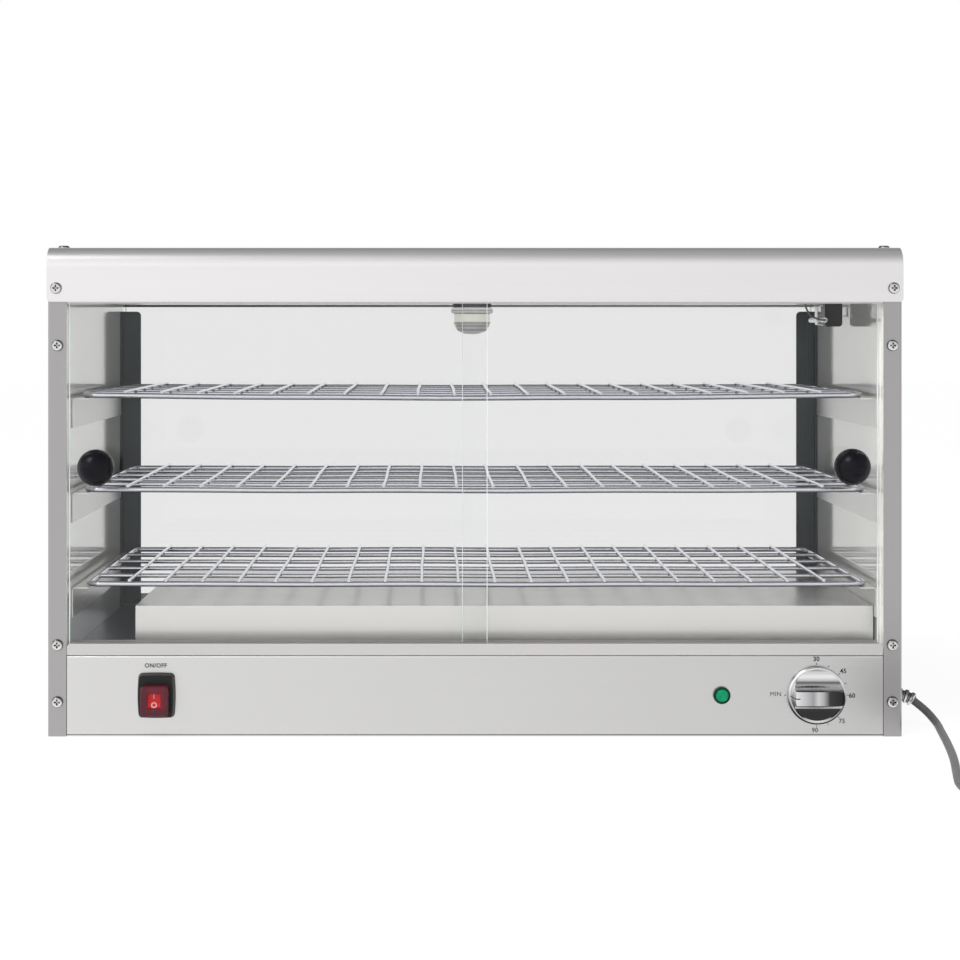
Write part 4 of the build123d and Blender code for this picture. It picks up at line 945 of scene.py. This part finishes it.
dress(pressed_glass("cap_glass", 0.72), "fluted_cap")
dress(pressed_glass("bulb_glass", 0.02), "lamp_bulb")

# %% [markdown]
# ## Plastics and rubber
#
# The ball handles are polished black phenolic, the switch bezel a satin black with a fine
# moulded grain, and the lead a smooth grey sheath. The rocker is red and lit from inside when it
# is on, under a clear soft cap. One recipe covers the solid colours: a base colour that varies a
# little, and a fine grain in the bump.

# %% Plastic finishes
def moulded(name, colour, roughness, grain=900.0, depth=0.00002, shine=0.5, glow=None):
    """Moulded plastic or rubber with a fine grain."""
    finish = Finish(name)
    cloud = finish.noise(25, 3.0)
    fine = finish.noise(grain)
    low = tuple(channel * 0.85 for channel in colour)
    high = tuple(min(channel * 1.12 + 0.0005, 1) for channel in colour)
    sockets = {"base_color": finish.blend(cloud, low, high), "roughness": fine * 0.08 + (roughness - 0.04),
               "normal": finish.bump(fine, depth, 0.5), "specular_ior_level": shine}
    if glow:
        sockets["emission_color"] = finish.blend(cloud, glow, colour)
        sockets["emission_strength"] = 0.5
    return finish.show(finish.gloss(**sockets))


dress(moulded("handle_phenolic", (0.0035, 0.003, 0.0055), 0.22, 300.0, 0.000004, shine=0.15),
      "left_door_knob", "right_door_knob")
dress(moulded("bezel_black", (0.010, 0.010, 0.011), 0.35, shine=0.25), "rocker_housing", "probe_holder",
      "coil_tie")
dress(moulded("seal_rubber", (0.03, 0.03, 0.03), 0.6), "lamp_seal")
dress(moulded("rocker_red", (0.50, 0.026, 0.028), 0.3, shine=0.3, glow=(0.44, 0.018, 0.018)), "rocker_block")
dress(moulded("lead_sheath", (0.125, 0.125, 0.13), 0.5, 1200.0, shine=0.3), "mains_lead")
dress(moulded("plug_moulding", (0.13, 0.135, 0.145), 0.5, 1200.0), "plug_grip")
dress(moulded("control_moulding", (0.72, 0.70, 0.64), 0.5),
      "indicator_body", "thermostat_body", "terminal_block")
dress(moulded("wire_sleeve", (0.78, 0.77, 0.74), 0.5), "wiring_loom")
WINDOW_MIDDLE = mm(-278.5, 0, 34.0)


def soft_cap(name):
    """Soft cover: dark red where it frames the rocker, and clear over the rocker itself."""
    finish = Finish(name)
    offset = finish.place() - tuple(WINDOW_MIDDLE)
    aside = abs(finish.axis(offset, "X"))
    above = abs(finish.axis(offset, "Z")) * 0.9
    out = finish.node("ShaderNodeMath", {"operation": "MAXIMUM"}, {0: aside, 1: above})
    frame_share = finish.spread(out, 0.0052, 0.0066)
    cloud = finish.noise(200)
    clear = finish.mix(frame_share, finish.clear((0.97, 0.93, 0.93)), finish.clear((0.75, 0.30, 0.33)))
    skin = finish.gloss(base_color=(0.11, 0.018, 0.032), roughness=0.2)
    return finish.show(finish.mix(frame_share * 0.50 + cloud * 0.06 + 0.03, clear, skin))


dress(soft_cap("boot_clear"), "rocker_boot")


def lens_green(name):
    """Moulded green lens: a dark collar and a brighter middle that glows a little."""
    finish = Finish(name)
    offset = finish.place() - tuple(middle("indicator_lens"))
    core = finish.spread(finish.length(offset * (1.0, 0.0, 1.0)), 0.0058, 0.0048)
    facets = finish.node("ShaderNodeTexVoronoi", inputs={"Vector": finish.place(450), "Scale": 1.0})
    colour = finish.blend(core, (0.0, 0.025, 0.013), (0.001, 0.13, 0.055))
    sparkle = finish.blend(facets, (0.0, 0.07, 0.028), (0.0, 0.24, 0.11))
    glow = finish.blend(core, (0.0, 0.005, 0.002), sparkle)
    return finish.show(finish.gloss(base_color=colour, roughness=0.12, specular_ior_level=0.15,
                                    emission_color=glow, emission_strength=0.8,
                                    normal=finish.bump(facets, 0.0004, 0.5)))


dress(lens_green("indicator_green"), "indicator_lens")

# %% [markdown]
# ## Printed marks
#
# The scale round the dial and the words over the switch are screen-printed: thin black ink, flat
# on the steel. Real type is needed, so each mark is a text object turned into a mesh and laid a
# tenth of a millimetre proud of the sheet. A heavier stroke comes from an offset of the outline, but
# the sharp corners of an M fold over under it, so that word has none. Ticks are small flat bars.
# Ink that is worn looks grey, so the marks take one dark grey and one lighter grey.

# %% Print the dial and the switch words
CAPITAL_SHARE = 0.7
INK_LIFT = mm(0.10)
INK_DEPTH = mm(0.04)
FASCIA_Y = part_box("control_fascia")[0].y - INK_LIFT


def ink(name, tone):
    """Screen-printing ink, a little uneven."""
    finish = Finish(name)
    patches = finish.noise(900, 3.0)
    light = min(tone * 1.8, 0.95)
    colour = finish.blend(patches, (tone, tone, tone), (light, light, light))
    return finish.show(finish.gloss(base_color=colour, roughness=0.55))


dark_ink = ink("ink_dark", 0.006)
worn_ink = ink("ink_worn", 0.09)


def printed(name, words, place, height, material, spacing=1.0, body="cabinet", weight=0.03):
    """Words laid flat by a placing matrix. Weight thickens the strokes by a share of the height."""
    text = bpy.data.curves.new(name, "FONT")
    text.body = words
    text.size = height / CAPITAL_SHARE
    text.space_character = spacing
    text.resolution_u = 4
    text.offset = height * weight
    text.extrude = INK_DEPTH
    holder = added(name + "_type", text)
    bpy.context.view_layer.update()
    mesh = bpy.data.meshes.new_from_object(holder.evaluated_get(bpy.context.evaluated_depsgraph_get()))
    bpy.data.objects.remove(holder)
    xs = [vertex.co.x for vertex in mesh.vertices]
    ys = [vertex.co.y for vertex in mesh.vertices]
    mesh.transform(Matrix.Translation((-(min(xs) + max(xs)) / 2, -(min(ys) + max(ys)) / 2, 0)))
    mesh.transform(place)
    mesh.name = name
    piece = added(name, mesh)
    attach(piece, body)
    dress(material, name)


UPRIGHT = Matrix.Rotation(math.radians(90), 4, "X")
DIAL_MIDDLE = mm(299.0, 0, 36.2)
TICK_REACH = mm(27.4)


def on_fascia(x, z):
    """Placing matrix for a spot on the fascia."""
    return Matrix.Translation((x, FASCIA_Y, z)) @ UPRIGHT


def tick(name, angle, material, length=mm(1.8), width=mm(0.6)):
    """A short printed bar that points at the dial's middle."""
    along_it = Vector((math.cos(angle), 0, math.sin(angle)))
    side = Vector((-along_it.z, 0, along_it.x))
    spot = Vector((DIAL_MIDDLE.x, FASCIA_Y, DIAL_MIDDLE.z)) + along_it * TICK_REACH
    corners = [spot + along_it * a * length / 2 + side * b * width / 2 + Vector((0, c * INK_DEPTH / 2, 0))
               for c in (-1, 1) for a, b in ((-1, -1), (1, -1), (1, 1), (-1, 1))]
    faces = [(0, 1, 2, 3), (4, 5, 6, 7), (0, 1, 5, 4), (1, 2, 6, 5), (2, 3, 7, 6), (3, 0, 4, 7)]
    piece = mesh_piece(name, corners, faces, "cabinet")
    dress(material, name)


DIAL = [("MIN", 263.3, 37.2), ("30", 299.0, 67.9), ("45", 322.3, 57.4), ("60", 330.2, 35.9),
        ("75", 321.3, 13.6), ("90", 297.7, 5.6)]
for words, x, z in DIAL:
    printed("dial_" + words, words, on_fascia(mm(x), mm(z)), mm(3.8), worn_ink if z < 20 else dark_ink, 1.05,
            weight=0.0 if words == "MIN" else 0.04)
for index, degrees in enumerate((180, 90, 67, 43, 22, 0, -45, -68, -90)):
    tick(f"dial_tick_{index}", math.radians(degrees), worn_ink if degrees < 0 else dark_ink)

printed("switch_words", "ON/OFF", on_fascia(mm(-279.4), mm(62.2)), mm(3.5), dark_ink, 1.1, weight=0.045)
FLAT_SLOPE = math.atan(0.7 / 8.6)
white_ink = ink("ink_white", 0.80)
ROCKER_MARKS = [("rocker_on", "I", 16.48, 1.4, FLAT_SLOPE, -0.6, 4.2),
                ("rocker_off", "O", 16.87, -6.3, -FLAT_SLOPE, -0.3, 4.6)]
for name, words, lift, up, slope, across, height in ROCKER_MARKS:
    place = rocker_place(mm(lift), mm(up), slope, mm(across)) @ UPRIGHT
    printed(name, words, place, mm(height), white_ink, body="rocker")

# %% [markdown]
# ## The studio
#
# The cabinet stands on a plain white sweep. The sky of the studio is a smooth dome: white for
# what the camera sees, and for the steel a pale front that falls off upwards and to the right,
# which draws the dark line on the rolled hood, and a dim back above the glass. A small bright
# panel up on the left gives the handles their highlight. One soft lamp in front lights the
# cabinet and gives the floor its shadow. Metal doesn't mirror that lamp, because it would burn a
# white band into the hood's roll.

# %% Floor
def studio_floor():
    """A large pale floor that goes white in the picture and keeps a soft shadow."""
    level = -mm(0.3)
    half = 12.0
    vertices = [(x * half, y * half, level) for x, y in ((-1, -1), (1, -1), (1, 1), (-1, 1))]
    mesh = bpy.data.meshes.new("studio_floor")
    mesh.from_pydata(vertices, [], [(0, 1, 2, 3)])
    floor = added("studio_floor", mesh)
    finish = Finish("floor_white")
    shown = finish.ray("Camera") + finish.ray("Glossy") + finish.ray("Transmission")
    tooth = finish.noise(40)
    pale = finish.blend(tooth, (0.85, 0.85, 0.85), (0.88, 0.88, 0.88))
    paper = finish.gloss(base_color=pale, roughness=0.9)
    glow = finish.node("ShaderNodeEmission", inputs={"Color": (1.0, 1.0, 1.0), "Strength": 1.04})
    mesh.materials.append(finish.show(finish.mix(shown * 0.88, paper, glow)))
    floor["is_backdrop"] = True


studio_floor()

# %% Sky
PANEL_WAY = (-0.50, -0.42, 0.757)


def studio_sky():
    """World: white for the camera, and a graded studio for reflections and light."""
    sky = Finish("studio_sky", bpy.data.worlds)
    way = sky.node("ShaderNodeTexCoord", output="Generated")
    up = sky.axis(way, "Z")
    front = sky.ramp(up, (0.0, 0.95), (0.10, 1.12), (0.30, 1.16), (0.50, 1.00), (0.80, 0.64), (1.0, 0.42))
    behind = sky.ramp(up, (0.0, 1.0), (0.22, 1.0), (0.38, (0.34, 0.34, 0.345)), (0.77, (0.28, 0.28, 0.285)),
                      (0.92, 0.34), (1.0, 0.42))
    side = sky.spread(sky.axis(way, "X"), -0.35, 0.35, 1.08, 0.74)
    is_behind = sky.spread(sky.axis(way, "Y"), -0.15, 0.15)
    near_panel = sky.node("ShaderNodeVectorMath", {"operation": "DOT_PRODUCT"}, {0: way, 1: PANEL_WAY}, 1)
    panel = sky.spread(near_panel, 0.955, 0.99, 0.0, 5.0)
    studio = sky.blend(is_behind, front * side + panel, behind)
    light = sky.blend(sky.ray("Camera") + sky.ray("Transmission"), studio, (1.0, 1.0, 1.0))
    background = sky.node("ShaderNodeBackground", inputs={"Color": light, "Strength": 1.0})
    bpy.context.scene.world = sky.show(background, "ShaderNodeOutputWorld")


studio_sky()

# %% Lamps
def soft_lamp(name, place, aim, size, power):
    """A soft box that points at a spot and isn't mirrored in metal."""
    data = bpy.data.lights.new(name, "AREA")
    data.shape = "RECTANGLE"
    data.size, data.size_y = size
    data.energy = power
    lamp = added(name, data)
    lamp.location = place
    lamp.rotation_euler = (Vector(aim) - Vector(place)).to_track_quat("-Z", "Y").to_euler()
    lamp.visible_glossy = False


soft_lamp("front_box", (-0.3, -1.04, 2.05), (0, 0, 0.2), (1.1, 0.5), 30)
bpy.context.scene.view_settings.view_transform = "Standard"

# %% [markdown]
# ## Last checks
#
# Every node must have a finish of its own, and the dressed model must stay inside the box that the
# frame gave, so both are tested and printed at the end.

# %% Check and finish
undressed = [name for name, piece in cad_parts.items() if name not in finished and not piece.hide_render]
print("still without a finish:", undressed)
low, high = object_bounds()
grown = [*(cad_low - low), *(high - cad_high)]
print("grown by (mm)", [round(value * 1000, 2) for value in grown])
